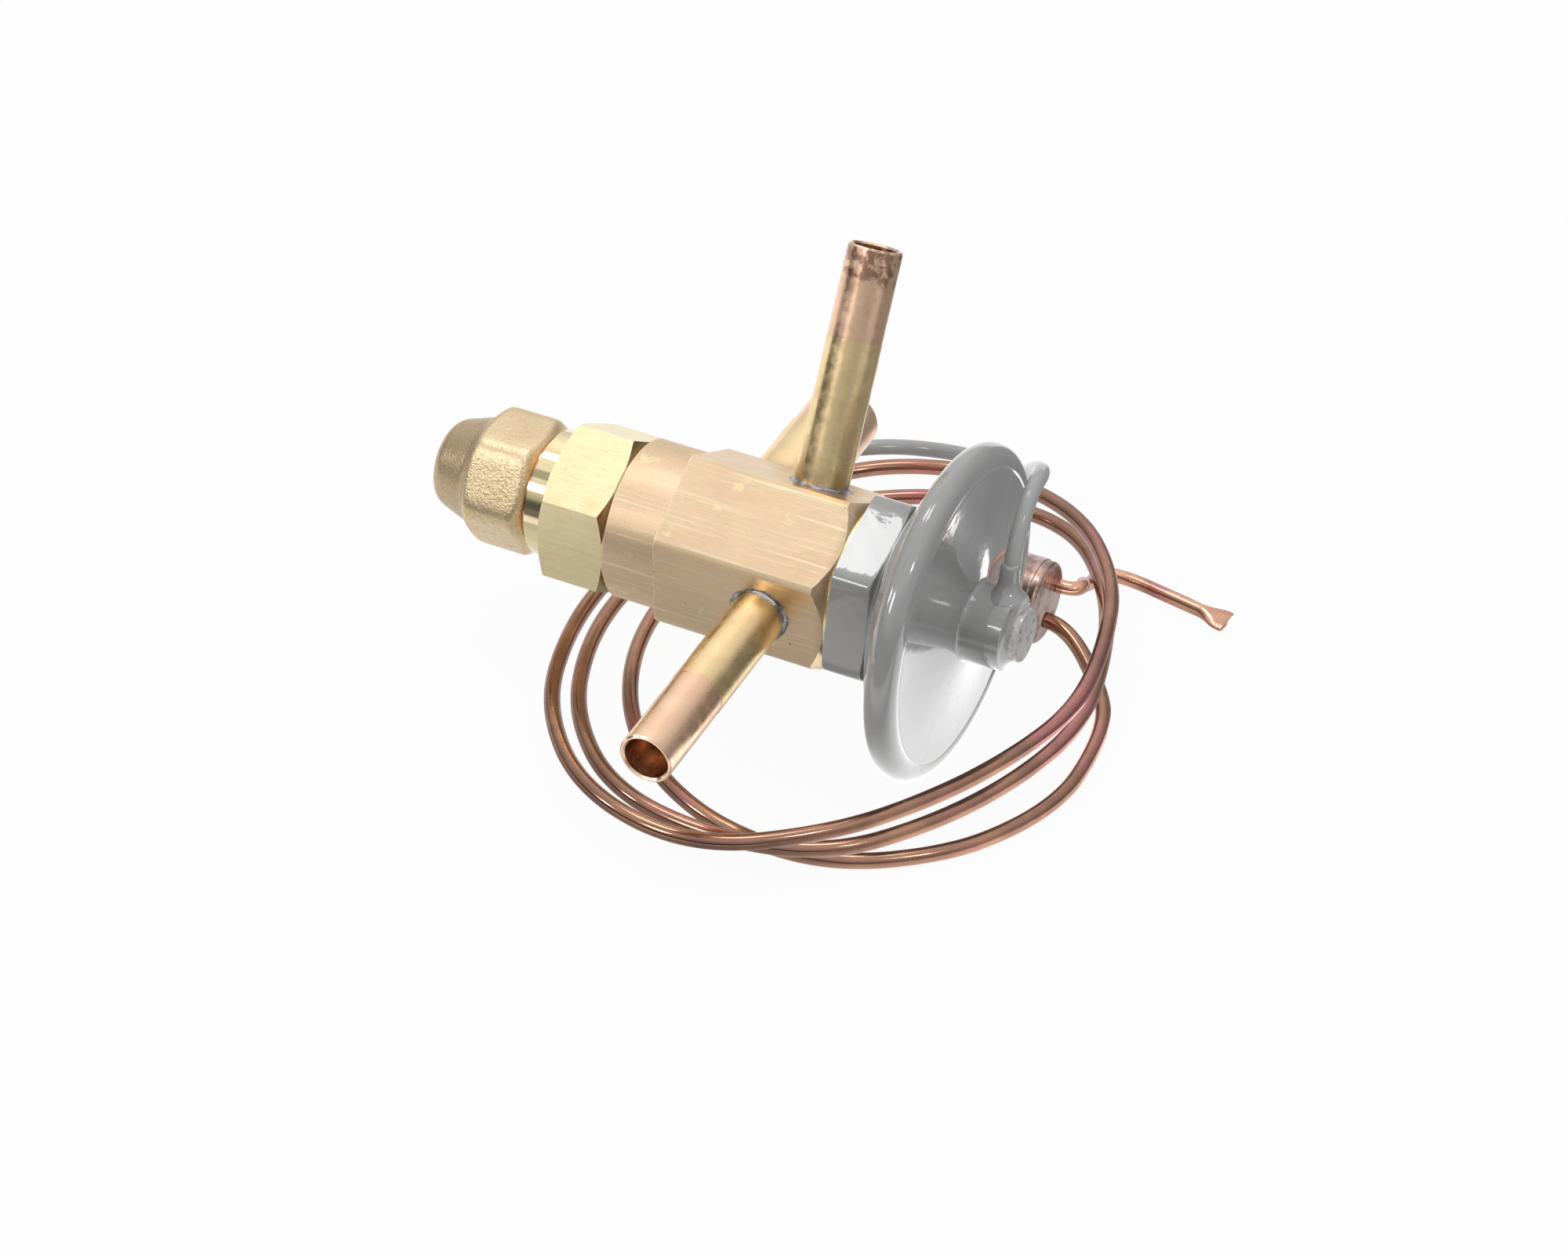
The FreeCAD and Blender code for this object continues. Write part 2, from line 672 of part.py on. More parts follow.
def make_spring_housing():
    """Hexagonal plug of the spring chamber: insert, collar, threaded boss and keyed bore."""
    nut = new_body("spring_housing")
    hexagon(nut, "bar", "nut_flats", "nut_turn", "nut_left", "body_left")
    for name, face, step in (("left", "nut_left", "nut_chamfer"), ("right", "body_left", "nut_chamfer * -1")):
        bored(nut, f"{name}_corners", [
            (face, "nut_face_radius"),
            (f"{face} + {step}", "nut_flats / sqrt(3) + edge_break"),
            (face, "nut_flats / sqrt(3) + edge_break"),
        ])
    turned(nut, "core", [
        ("thread_left", "0"),
        ("insert_right", "0"),
        ("insert_right", "insert_radius - edge_break"),
        ("insert_right - edge_break", "insert_radius"),
        ("nut_left", "insert_radius"),
        ("nut_left", "neck_radius"),
        ("neck_left", "neck_radius"),
        ("neck_left", "thread_radius"),
        ("thread_left + edge_break", "thread_radius"),
        ("thread_left", "thread_radius - edge_break"),
    ])
    bored(nut, "bores", [
        ("insert_right + overcut", "0"),
        ("insert_right + overcut", "spring_bore_radius"),
        ("spring_bore_floor", "spring_bore_radius"),
        ("spring_bore_floor", "collar_bore_radius"),
        ("collar_bore_floor", "collar_bore_radius"),
        ("collar_bore_floor", "stem_hole_radius"),
        ("packing_floor", "stem_hole_radius"),
        ("packing_floor", "packing_bore_radius"),
        ("thread_left - overcut", "packing_bore_radius"),
        ("thread_left - overcut", "0"),
    ])
    keyway = nut.newObject("PartDesign::SubtractiveBox", "spring_housing_keyway")
    keyway.MapMode = "Deactivated"
    keyway.setExpression("Length", bound("insert_right - spring_bore_floor + overcut"))
    keyway.setExpression("Width", bound("keyway_width"))
    keyway.setExpression("Height", bound("keyway_reach"))
    keyway.setExpression(".Placement.Base.x", bound("spring_bore_floor"))
    keyway.setExpression(".Placement.Base.y", bound("keyway_width / -2"))
    doc.recompute()


def make_packing():
    seal = new_body("stem_seal")
    turned(seal, "ring", [
        ("seal_left", "stem_radius + packing_gap"),
        ("packing_floor", "stem_radius + packing_gap"),
        ("packing_floor", "packing_bore_radius"),
        ("seal_left", "packing_bore_radius"),
    ])
    gland = new_body("packing_gland")
    turned(gland, "nut", [
        ("gland_left", "stem_hole_radius"),
        ("seal_left", "stem_hole_radius"),
        ("seal_left", "packing_bore_radius"),
        ("gland_left + edge_break", "packing_bore_radius"),
        ("gland_left", "packing_bore_radius - edge_break"),
    ])
    slot = gland.newObject("PartDesign::SubtractiveBox", "packing_gland_slot")
    slot.MapMode = "Deactivated"
    slot.setExpression("Length", bound("gland_slot_depth + overcut"))
    slot.setExpression("Width", bound("gland_slot"))
    slot.setExpression("Height", bound("packing_bore_radius * 2 + overcut * 2"))
    slot.setExpression(".Placement.Base.x", bound("gland_left - overcut"))
    slot.setExpression(".Placement.Base.y", bound("gland_slot / -2"))
    slot.setExpression(".Placement.Base.z", bound("-packing_bore_radius - overcut"))
    doc.recompute()


def make_seal_cap():
    """Cast cap: a hexagon with sloped shoulders that runs into a blunt turned nose."""
    cap = new_body("seal_cap")
    hexagon(cap, "bar", "cap_flats", "cap_turn", "cap_shoulder_left", "cap_right")
    bored(cap, "right_corners", [
        ("cap_right", "cap_face_radius"),
        ("cap_chamfer_right", "cap_flats / sqrt(3) + edge_break"),
        ("cap_right", "cap_flats / sqrt(3) + edge_break"),
    ])
    bored(cap, "shoulders", [
        ("cap_shoulder_left", "cap_shoulder_radius"),
        ("cap_shoulder_right", "cap_flats / sqrt(3) + edge_break"),
        ("cap_shoulder_left", "cap_flats / sqrt(3) + edge_break"),
    ])
    turned(cap, "nose", [
        ("-cap_reach", "0"),
        ("cap_shoulder_right", "0"),
        ("cap_shoulder_right", "cap_shoulder_radius"),
        ("cap_shoulder_left", "cap_shoulder_radius", "cap_waist_curve", -1),
        ("cap_waist", "cap_waist_radius"),
        ("cap_nose", "cap_nose_radius", "cap_end_curve", 1),
        ("-cap_reach", "cap_end_radius"),
    ])
    bored(cap, "hollow", [
        ("cap_right + overcut", "0"),
        ("cap_right + overcut", "cap_bore_radius"),
        ("cap_bore_floor", "cap_bore_radius"),
        ("cap_bore_floor - drill_point", "cap_well_radius"),
        ("cap_well_floor", "cap_well_radius"),
        ("cap_well_floor - drill_point", "0"),
    ])
    washer = new_body("cap_washer")
    turned(washer, "ring", [
        ("cap_right", "washer_inner_radius"),
        ("neck_left", "washer_inner_radius"),
        ("neck_left", "washer_outer_radius"),
        ("cap_right", "washer_outer_radius"),
    ])


def make_element_base():
    """Lower housing: hexagonal collar, flare and the rim rolled over the diaphragm's edge."""
    gasket = new_body("element_gasket")
    turned(gasket, "ring", [
        ("gasket_left", "nipple_radius"),
        ("collar_left", "nipple_radius"),
        ("collar_left", "gasket_radius"),
        ("gasket_left", "gasket_radius"),
    ])
    base = new_body("element_base")
    hexagon(base, "collar", "collar_flats", "collar_turn", "collar_left", "flare_start")
    bored(base, "collar_corners", [
        ("collar_left", "collar_flats / sqrt(3) - edge_break * 2"),
        ("collar_left + edge_break", "collar_flats / sqrt(3) - collar_corner_break"),
        ("flare_start", "collar_flats / sqrt(3) - collar_corner_break"),
        ("flare_start", "collar_flats"),
        ("collar_left", "collar_flats"),
    ])
    turned(base, "shell", [
        ("collar_left + edge_break", "0"),
        ("face_left", "0"),
        ("face_left", "rim_radius - rim_roll", "rim_roll", 1),
        ("rim_station", "rim_radius", "rim_roll", 1),
        ("rim_station - rim_roll", "rim_radius - rim_roll"),
        ("flare_knee", "flare_knee_radius", "flare_curve", -1),
        ("flare_start", "flare_start_radius"),
        ("collar_right", "collar_flats / 2 - collar_corner_break"),
        ("collar_left + edge_break", "collar_flats / 2 - collar_corner_break"),
    ])
    bored(base, "dish", [
        ("collar_left - overcut", "0"),
        ("collar_left - overcut", "collar_bore"),
        ("dish_start", "collar_bore"),
        ("dish_start", "dish_start_radius"),
        ("dish_edge", "dish_edge_radius"),
        ("diaphragm_left", "dish_edge_radius"),
        ("diaphragm_left", "clamp_radius"),
        ("clamp_left", "clamp_radius"),
        ("face_left", "rim_lip_radius"),
        ("face_left + overcut", "rim_lip_radius"),
        ("face_left + overcut", "0"),
    ])


def diaphragm_side(station, upwards):
    """One face of the diaphragm: flat in the middle and at the clamped edge, waved between."""
    count = int(amount("wave_count"))
    places = [f"wave_start + wave_width * {number}" for number in range(count + 1)]
    bends = [1 if number % 2 else -1 for number in range(count)]
    if not upwards:
        places.reverse()
        bends.reverse()
    arcs = [(station, place, "wave_curve", bend) for place, bend in zip(places, bends)]
    if not upwards:
        arcs = [(x, y, curve, -bend) for x, y, curve, bend in arcs]
    return arcs + [(station, places[-1])]


def make_diaphragm_and_buffer():
    disc = new_body("diaphragm")
    right = "diaphragm_left + diaphragm_thickness"
    corners = [("diaphragm_left", "0")]
    corners += diaphragm_side("diaphragm_left", True)
    corners += [("diaphragm_left", "clamp_radius"), (right, "clamp_radius")]
    corners += diaphragm_side(right, False)
    corners += [(right, "0")]
    turned(disc, "sheet", corners)
    buffer = new_body("buffer_plate")
    turned(buffer, "plate", [
        ("buffer_left", "0"),
        ("buffer_right", "0"),
        ("buffer_right", "buffer_radius - edge_break"),
        ("buffer_right - edge_break", "buffer_radius"),
        ("buffer_left + edge_break", "buffer_radius"),
        ("buffer_left", "buffer_radius - edge_break"),
    ])


def make_element_cover():
    """Upper housing: a shallow dome whose edge is held under the rolled rim."""
    cover = new_body("element_cover")
    sheet = "diaphragm_left + diaphragm_thickness"
    turned(cover, "dome", [
        ("face_right - cover_wall", "cover_hole_radius"),
        ("face_right", "cover_hole_radius"),
        ("face_right", "face_inner_radius", "face_curve", 1),
        ("face_left", "rim_lip_radius"),
        ("clamp_left", "clamp_radius"),
        (sheet, "clamp_radius"),
        (sheet, "cover_edge_radius"),
        ("face_right - cover_wall", "face_inner_radius"),
    ])
    hub = new_body("hub_boss")
    turned(hub, "post", [
        ("face_right", "0"),
        ("hub_reach", "0"),
        ("hub_reach", "hub_radius - hub_end_curve", "hub_end_curve", 1),
        ("hub_reach - hub_end_curve", "hub_radius"),
        ("face_right", "hub_radius"),
    ])
    bored(hub, "well", [
        ("face_right - overcut", "0"),
        ("hub_bore_right", "0"),
        ("hub_bore_right", "cover_hole_radius"),
        ("face_right - overcut", "cover_hole_radius"),
    ])
    drilled(hub, "capillary_hole", "capillary_radius",
            along(LEAD_WAY, "capillary_root", "capillary_station"), LEAD_WAY, "hub_radius")


def make_capillary_braze():
    """Cone of braze round the capillary, seated on the hub's side."""
    blob = doc.addObject("Part::Cone", "braze_cone")
    blob.setExpression("Radius1", bound("braze_radius"))
    blob.setExpression("Radius2", bound("braze_top_radius"))
    blob.setExpression("Height", bound("braze_top - capillary_root"))
    hole = doc.addObject("Part::Cylinder", "braze_hole")
    hole.setExpression("Radius", bound("capillary_radius"))
    hole.setExpression("Height", bound("braze_top"))
    post = doc.addObject("Part::Cylinder", "braze_seat")
    post.setExpression("Radius", bound("hub_radius"))
    post.setExpression("Height", bound("hub_reach"))
    post.Placement = Placement(Vector(), Rotation(Vector(0, 1, 0), 90))
    for cutter in (blob, hole):
        cutter.Placement = Placement(Vector(), Rotation(Vector(0, 0, 1), LEAD_WAY))
        root = along(LEAD_WAY, "capillary_root", "capillary_station")
        for axis, formula in zip("xyz", root):
            cutter.setExpression(f".Placement.Base.{axis}", bound(formula))
    tools = doc.addObject("Part::MultiFuse", "braze_cutters")
    tools.Shapes = [hole, post]
    braze = doc.addObject("Part::Cut", "capillary_braze")
    braze.Base = blob
    braze.Tool = tools
    set_place(braze)
    keep("capillary_braze", braze)
    doc.recompute()


def coil_fall(angle):
    """Share of one step down that the coil has made at an angle, eased at both ends."""
    share = min(max((angle - FALL_START) / FALL_SPAN, 0.0), 1.0)
    return share * share * (3 - 2 * share)


def coil_points():
    """The loose turns: points round the coil's centre that fall one step behind the valve, twice."""
    top = amount("coil_top - rim_radius")
    first_step = amount("coil_top - coil_middle")
    last_step = amount("coil_middle - coil_bottom")
    points = []
    for number, radius in enumerate(COIL_RADII):
        angle = COIL_START + COIL_STEP * number
        x = amount("coil_centre_x") + radius * math.cos(math.radians(angle))
        y = amount("coil_centre_y") + radius * math.sin(math.radians(angle))
        height = top + COIL_LIFT.get(number, 0.0)
        height -= first_step * coil_fall(angle) + last_step * coil_fall(angle - 360.0)
        points.append(Vector(x, y, height))
    return points


def rounded_route(points, name):
    """Straight runs joined by tangent arcs, each as large as its two runs allow."""
    edges = []
    radii = []
    last = points[0]
    for before, corner, after in zip(points, points[1:], points[2:]):
        inward = (corner - before).normalize()
        outward = (after - corner).normalize()
        half_turn = inward.getAngle(outward) / 2
        run = min((corner - before).Length, (after - corner).Length)
        cut = 0.45 * run
        radii.append(cut / math.tan(half_turn))
        start = corner - inward * cut
        end = corner + outward * cut
        towards = (outward - inward).normalize()
        middle = corner + towards * (radii[-1] / math.cos(half_turn) - radii[-1])
        edges.append(Part.LineSegment(last, start).toShape())
        edges.append(Part.Arc(start, middle, end).toShape())
        last = end
    edges.append(Part.LineSegment(last, points[-1]).toShape())
    print(name, "radii", " ".join(f"{radius:.1f}" for radius in radii))
    return Part.Wire(edges)


def swept_tube(points, radius, name):
    """A round bar along a route, with its volume set against section times length."""
    path = rounded_route(points, name)
    way = points[1] - points[0]
    ring = Part.Wire([Part.Circle(points[0], way, radius).toShape()])
    tube = path.makePipeShell([ring], True, True)
    expected = math.pi * radius ** 2 * path.Length
    print(f"{name} length {path.Length:.1f} mm, volume {tube.Volume / expected:.4f} of section x length")
    return tube


def add_shape(name, shape):
    """A piece that no parametric feature makes: its shape first, then its place."""
    thing = doc.addObject("Part::Feature", name)
    thing.Shape = shape
    thing.Placement = Placement(valve_point(), Rotation())
    return keep(name, thing)


def make_capillary():
    root = Vector(amount("capillary_station"), 0, 0) + LEAD_WAY * amount("capillary_root")
    points = [root]
    points += [Vector(*point) for point in LEAD_POINTS]
    points += coil_points()
    points += [Vector(*point) for point in BULB_POINTS]
    add_shape("capillary_tube", swept_tube(points, amount("capillary_radius"), "capillary_tube"))


def make_bulb():
    """Sensing bulb: a drawn copper shell with a plugged and brazed end."""
    height = "bulb_radius - rim_radius"
    shell = new_body("bulb_shell", shift=("0", "bulb_y", height))
    turned(shell, "wall", [
        ("bulb_left", "0"),
        ("bulb_left + bulb_wall", "0"),
        ("bulb_left + bulb_wall", "bulb_radius - bulb_end_curve"),
        ("bulb_left + bulb_end_curve", "bulb_radius - bulb_wall"),
        ("bulb_right", "bulb_radius - bulb_wall"),
        ("bulb_right", "bulb_radius - bulb_wall / 4"),
        ("bulb_right - bulb_wall / 4", "bulb_radius"),
        ("bulb_left + bulb_end_curve", "bulb_radius", "bulb_end_curve", 1),
        ("bulb_left", "bulb_radius - bulb_end_curve"),
    ])
    end = new_body("bulb_end_cap", shift=("0", "bulb_y", height))
    turned(end, "plug", [
        ("bulb_right - bulb_plug_depth", "0"),
        ("bulb_right + bulb_cap_thickness", "0"),
        ("bulb_right + bulb_cap_thickness", "bulb_cap_radius - bulb_seam", "bulb_seam", 1),
        ("bulb_right + bulb_cap_thickness - bulb_seam", "bulb_cap_radius"),
        ("bulb_right", "bulb_cap_radius"),
        ("bulb_right", "bulb_radius - bulb_wall"),
        ("bulb_right - bulb_plug_depth", "bulb_radius - bulb_wall"),
    ])


def make_charging_tail():
    """Thin charging tube that ends in a flat pinched tip."""
    points = [Vector(*point) for point in TAIL_POINTS]
    radius = amount("tail_radius")
    tube = swept_tube(points, radius, "charging_tail")
    way = (points[-1] - points[-2]).normalize()
    side = Vector(-way.y, way.x, 0) * (amount("tail_tip_width") / 2)
    up = Vector(0, 0, amount("tail_tip_thickness") / 2)
    centre = points[-1] + way * amount("tail_tip_length")
    corners = [centre + side + up, centre - side + up, centre - side - up, centre + side - up]
    ring = Part.Wire([Part.Circle(points[-1], way, radius).toShape()])
    edge = Part.makePolygon(corners + corners[:1])
    tip = Part.makeLoft([ring, edge], True, True)
    add_shape("charging_tail", tube.fuse(tip).removeSplitter())


make_valve_body()
make_small_tube("inlet_tube", INLET_WAY, "inlet_reach", "inlet_seam", "0", strainer_seat=True)
make_small_tube("equalizer_tube", EQUALIZER_WAY, "equalizer_reach", "equalizer_seam",
                "equalizer_station")
make_outlet_tube()
make_solder_ring("inlet_solder", INLET_WAY, "0", "tube_radius")
make_solder_ring("equalizer_solder", EQUALIZER_WAY, "equalizer_station", "tube_radius")
make_solder_ring("outlet_solder", OUTLET_WAY, "outlet_station", "outlet_root_radius")
make_strainer()
make_seat_and_pin()
make_push_rods()
make_spring()
make_guide_and_stem()
make_spring_housing()
make_packing()
make_seal_cap()
make_element_base()
make_diaphragm_and_buffer()
make_element_cover()
make_capillary_braze()
make_capillary()
make_bulb()
make_charging_tail()
doc.recompute()

for thing in doc.Objects:
    if "Invalid" in thing.State or "Error" in thing.State:
        raise RuntimeError(f"{thing.Name} failed: {thing.State}")
for name, piece in pieces.items():
    if piece.Shape.isNull() or not piece.Shape.isValid():
        raise RuntimeError(f"{name} has no valid shape")

os.makedirs("parts", exist_ok=True)
for name, piece in pieces.items():
    piece.Shape.exportStep(os.path.join("parts", name + ".step"))
print(len(pieces), "pieces written")
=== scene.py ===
# %% [markdown]
# # A thermostatic expansion valve
#
# The valve lies on the rim of its power element, with its capillary coiled loosely under it.
# The rigid pieces come from the CAD frame. This lesson sets the camera, lays the soft copper
# tubes, works out the rounded cap and the painted shells as numpy surfaces, and gives each
# metal, solder and enamel a finish made of nodes alone.

# %% Load the rigid frame
import math

import bmesh
import bpy
import numpy as np
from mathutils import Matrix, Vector


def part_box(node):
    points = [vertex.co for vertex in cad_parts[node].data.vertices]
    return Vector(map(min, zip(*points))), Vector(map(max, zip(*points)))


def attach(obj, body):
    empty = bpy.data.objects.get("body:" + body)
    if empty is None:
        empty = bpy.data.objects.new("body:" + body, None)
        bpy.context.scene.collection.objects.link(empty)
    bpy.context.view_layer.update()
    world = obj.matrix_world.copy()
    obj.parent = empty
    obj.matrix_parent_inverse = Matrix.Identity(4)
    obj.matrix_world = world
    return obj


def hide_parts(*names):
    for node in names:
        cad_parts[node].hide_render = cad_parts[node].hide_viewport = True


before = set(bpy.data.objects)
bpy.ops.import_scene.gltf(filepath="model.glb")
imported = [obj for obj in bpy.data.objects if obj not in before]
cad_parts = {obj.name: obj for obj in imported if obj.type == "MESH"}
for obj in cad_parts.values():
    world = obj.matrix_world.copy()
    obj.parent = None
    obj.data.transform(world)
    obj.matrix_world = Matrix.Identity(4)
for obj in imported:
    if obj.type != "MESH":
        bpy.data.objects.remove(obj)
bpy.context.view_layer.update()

print("the frame has", len(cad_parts), "nodes")

# %% [markdown]
# ## Where the valve is
#
# Every size below is in millimetres from one point: where the valve's own axis crosses the
# middle of the inlet tube. The frame says where that point is, so nothing is placed by eye.

# %% The valve's crossing point and a helper for places
MM = 0.001


def middle(node):
    """Centre of a node's box, in millimetres of the row frame."""
    low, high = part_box(node)
    return (low + high) / 2 / MM


CROSSING = np.array([middle("inlet_tube").x, middle("hub_boss").y, middle("hub_boss").z])


def placed(points):
    """Metres in the row frame for points in millimetres from the valve's crossing point."""
    return (np.asarray(points, float) + CROSSING) * MM


print("the axis crosses the inlet tube at", CROSSING.round(2))

# %% [markdown]
# ## The camera
#
# The view was solved from the rims and tubes of the valve itself: a long lens, twenty-six
# degrees to the right of the front and thirty-nine above the floor. A camera aimed with
# to_track_quat stays level, as a camera on a tripod does.

# %% The camera
CAMERA_AIM = Vector((0.01145, 0.0, 0.0180))
CAMERA_DISTANCE = 0.6454
CAMERA_TURN = math.radians(26.18)
CAMERA_RISE = math.radians(39.47)
CAMERA_LENS = 105.3

scene = bpy.context.scene
camera = bpy.data.objects.new("camera", bpy.data.cameras.new("camera"))
scene.collection.objects.link(camera)
back = Vector((
    math.sin(CAMERA_TURN) * math.cos(CAMERA_RISE),
    -math.cos(CAMERA_TURN) * math.cos(CAMERA_RISE),
    math.sin(CAMERA_RISE),
))
camera.location = CAMERA_AIM + back * CAMERA_DISTANCE
camera.rotation_euler = (-back).to_track_quat("-Z", "Y").to_euler()
camera.data.lens = CAMERA_LENS
camera.data.sensor_width = 36.0
scene.camera = camera
scene.view_settings.view_transform = "Standard"

# %% [markdown]
# ## Surfaces from grids
#
# A tube, a turned ring and a cast cap are all the same thing to a computer: a grid of points,
# rows along the piece and columns round it. One function turns such a grid into a closed mesh.

# %% From a grid of points to a mesh
TURN = 2 * math.pi


def surface(name, grid, ring=False):
    """Mesh over a grid of points in millimetres: vertex = row * columns + column.

    Columns always close into a ring. Rows close too when ring is true; otherwise one face shuts
    each end row. A row of no size becomes a point.
    """
    rows, columns = grid.shape[:2]
    index = np.arange(rows * columns).reshape(rows, columns)
    near = index if ring else index[:-1]
    far = np.roll(index, -1, axis=0) if ring else index[1:]
    quads = np.stack([near, np.roll(near, -1, 1), np.roll(far, -1, 1), far], axis=-1).reshape(-1, 4)
    faces = quads.tolist()
    if not ring:
        faces += [index[0].tolist(), index[-1].tolist()]
    mesh = bpy.data.meshes.new(name)
    mesh.from_pydata(placed(grid.reshape(-1, 3)), [], faces)
    tidy = bmesh.new()
    tidy.from_mesh(mesh)
    bmesh.ops.remove_doubles(tidy, verts=tidy.verts, dist=1e-7)
    bmesh.ops.recalc_face_normals(tidy, faces=tidy.faces)
    tidy.to_mesh(mesh)
    tidy.free()
    mesh.shade_smooth()
    piece = bpy.data.objects.new(name, mesh)
    scene.collection.objects.link(piece)
    return piece


def lengths(line):
    """Distance from the first point of a line to each of its points, along the line."""
    return np.concatenate([[0.0], np.cumsum(np.linalg.norm(np.diff(line, axis=0), axis=1))])


def eased(corners, steps=6):
    """Outline through corners (station, radius, easing) whose corners are rounded off.

    Each corner becomes a quadratic curve (1-t)^2 a + 2t(1-t) corner + t^2 b, where a and b lie
    one easing before and after it.
    """
    corners = np.asarray(corners, float)
    places = corners[:, :2]
    points = [places[:1]]
    t = np.linspace(0, 1, steps)[:, None]
    for before, corner, after in zip(corners, corners[1:], corners[2:]):
        here = corner[:2]
        sides = []
        for other in (before[:2], after[:2]):
            run = other - here
            sides.append(here + run * min(corner[2] / np.linalg.norm(run), 0.49))
        points.append((1 - t) ** 2 * sides[0] + 2 * t * (1 - t) * here + t ** 2 * sides[1])
    points.append(places[-1:])
    return np.vstack(points)


def bow(start, end, size, steps=24):
    """Arc of a given radius from one (station, radius) point to another.

    Its centre lies on the line that halves the chord at a right angle, on the right of the way
    from start to end for a positive radius.
    """
    start = np.asarray(start, float)
    end = np.asarray(end, float)
    chord = end - start
    across = np.array([chord[1], -chord[0]]) / np.linalg.norm(chord)
    depth = math.sqrt(size * size - chord @ chord / 4) * math.copysign(1, size)
    centre = (start + end) / 2 + across * depth
    first = math.atan2(*(start - centre)[::-1])
    turn = (math.atan2(*(end - centre)[::-1]) - first + math.pi) % TURN - math.pi
    angle = first + turn * np.linspace(0, 1, steps)
    return centre + abs(size) * np.stack([np.cos(angle), np.sin(angle)], axis=1)


def evenly(outline, step):
    """The same outline with a point at every step of its length and at each of its own points."""
    gone = lengths(outline)
    places = np.unique(np.concatenate([gone, np.arange(0, gone[-1], step)]).round(5))
    return np.stack([np.interp(places, gone, outline[:, axis]) for axis in (0, 1)], axis=1)


def turned(outline, way=(1, 0, 0), start=(0, 0, 0), columns=144, radius_limit=None):
    """Grid of an outline (station, radius) turned about a line from start along way.

    point = start + station way + radius (cos(angle) side + sin(angle) up). For way +X the angle
    runs from +Y towards +Z. A radius limit keeps the surface inside a hexagon.
    """
    way = np.asarray(way, float) / np.linalg.norm(way)
    side = np.cross((0, 0, 1), way)
    side /= np.linalg.norm(side)
    up = np.cross(way, side)
    angle = np.arange(columns) / columns * TURN
    radius = np.repeat(outline[:, 1:2], columns, axis=1)
    if radius_limit is not None:
        radius = radius_limit(outline[:, :1], angle, radius)
    spokes = np.cos(angle)[:, None] * side + np.sin(angle)[:, None] * up
    return np.asarray(start, float) + outline[:, :1, None] * way + radius[..., None] * spokes


def hexagon(angle, apothem, corner, sharpness):
    """Radius of a rounded hexagon, with a corner at an angle in degrees.

    radius = apothem / (sum over three flats of |cos(angle - flat)|^s)^(1/s): the larger s is,
    the sharper are the corners.
    """
    flats = np.radians(corner + 30.0 + 60.0 * np.arange(3))
    total = (np.abs(np.cos(angle[:, None] - flats)) ** sharpness).sum(axis=1)
    return apothem / total ** (1 / sharpness)


def smaller(first, second, sharpness):
    """Soft minimum of two radii: (first^-s + second^-s)^(-1/s)."""
    return (first ** -sharpness + second ** -sharpness) ** (-1 / sharpness)


# %% [markdown]
# ## The capillary
#
# A capillary is one long soft copper tube. It leaves the hub, bends over the rim, drops behind
# the valve, lies in a little over two and a half loose turns and ends in the bulb. Its line is a
# NURBS spline with few control points, which bends as evenly as the real tube; the wall is a ring
# carried along that line, so that paint can follow the length.

# %% The capillary's route
FLOOR = -float(CROSSING[2])
TUBE_RADIUS = 1.19
TUBE_SIDES = 44
SPAN_STEPS = 14
LEAD_WAY = np.array([-0.5, 2.5, 10.0]) / math.hypot(0.5, 2.5, 10.0)
LEAD_START = np.array([32.0, 0.0, 0.0])
LEAD_ROOT = LEAD_START + LEAD_WAY * 3.6
LEAD = [
    (31.5, 2.5, 10.0), (31.0, 9.5, 17.0), (30.0, 16.5, 15.5), (26.0, 24.2, 9.5),
    (21.0, 33.0, 1.0), (15.0, 42.0, -8.0), (4.0, 51.0, -13.5),
]
COIL_CENTRE = (4.0, 8.0)
COIL_START = 112.5
COIL_STEP = 22.5
COIL_RADII = [
    47.2, 42.2, 38.6, 37.6, 40.2, 45.2, 49.4, 49.4, 41.6, 36.2, 34.6, 36.0, 37.2, 41.8, 46.8, 47.6,
    45.2, 38.2, 34.8, 35.8, 37.6, 41.0, 44.2, 43.8, 43.0, 38.2, 36.4, 37.0, 37.2, 41.0, 46.2, 43.8,
    40.4, 36.4, 32.8, 31.0, 31.2, 32.8, 35.8, 39.2, 42.2, 42.2,
]
COIL_LIFT = {10: 0.3, 11: 0.55, 12: 0.55, 13: 0.3, 26: 0.3, 27: 0.55, 28: 0.55, 29: 0.3}
COIL_TOP = 6.45
COIL_STEP_DOWN = 2.6
FALL_START = 412.0
FALL_SPAN = 68.0
BULB_RUN = [
    (40.5, -12.0, -23.38), (43.5, -3.0, -23.38), (43.5, 5.0, -23.38), (42.5, 12.5, -23.38),
    (40.0, 18.5, -23.2), (30.5, 28.2, -20.95), (26.5, 28.2, -20.95),
]
TAIL_RUN = [
    (26.5, 32.7, -17.8), (29.0, 32.7, -17.8), (29.9, 34.8, -18.2), (28.3, 37.9, -20.5),
    (27.9, 41.0, -23.4), (28.6, 45.0, -23.5), (33.0, 45.4, -23.5), (39.5, 44.2, -23.5),
    (46.5, 42.9, -23.5),
]


def fall(angle):
    """Share of one step down at an angle: 3s^2 - 2s^3 over the fall's span."""
    share = min(max((angle - FALL_START) / FALL_SPAN, 0.0), 1.0)
    return share * share * (3 - 2 * share)


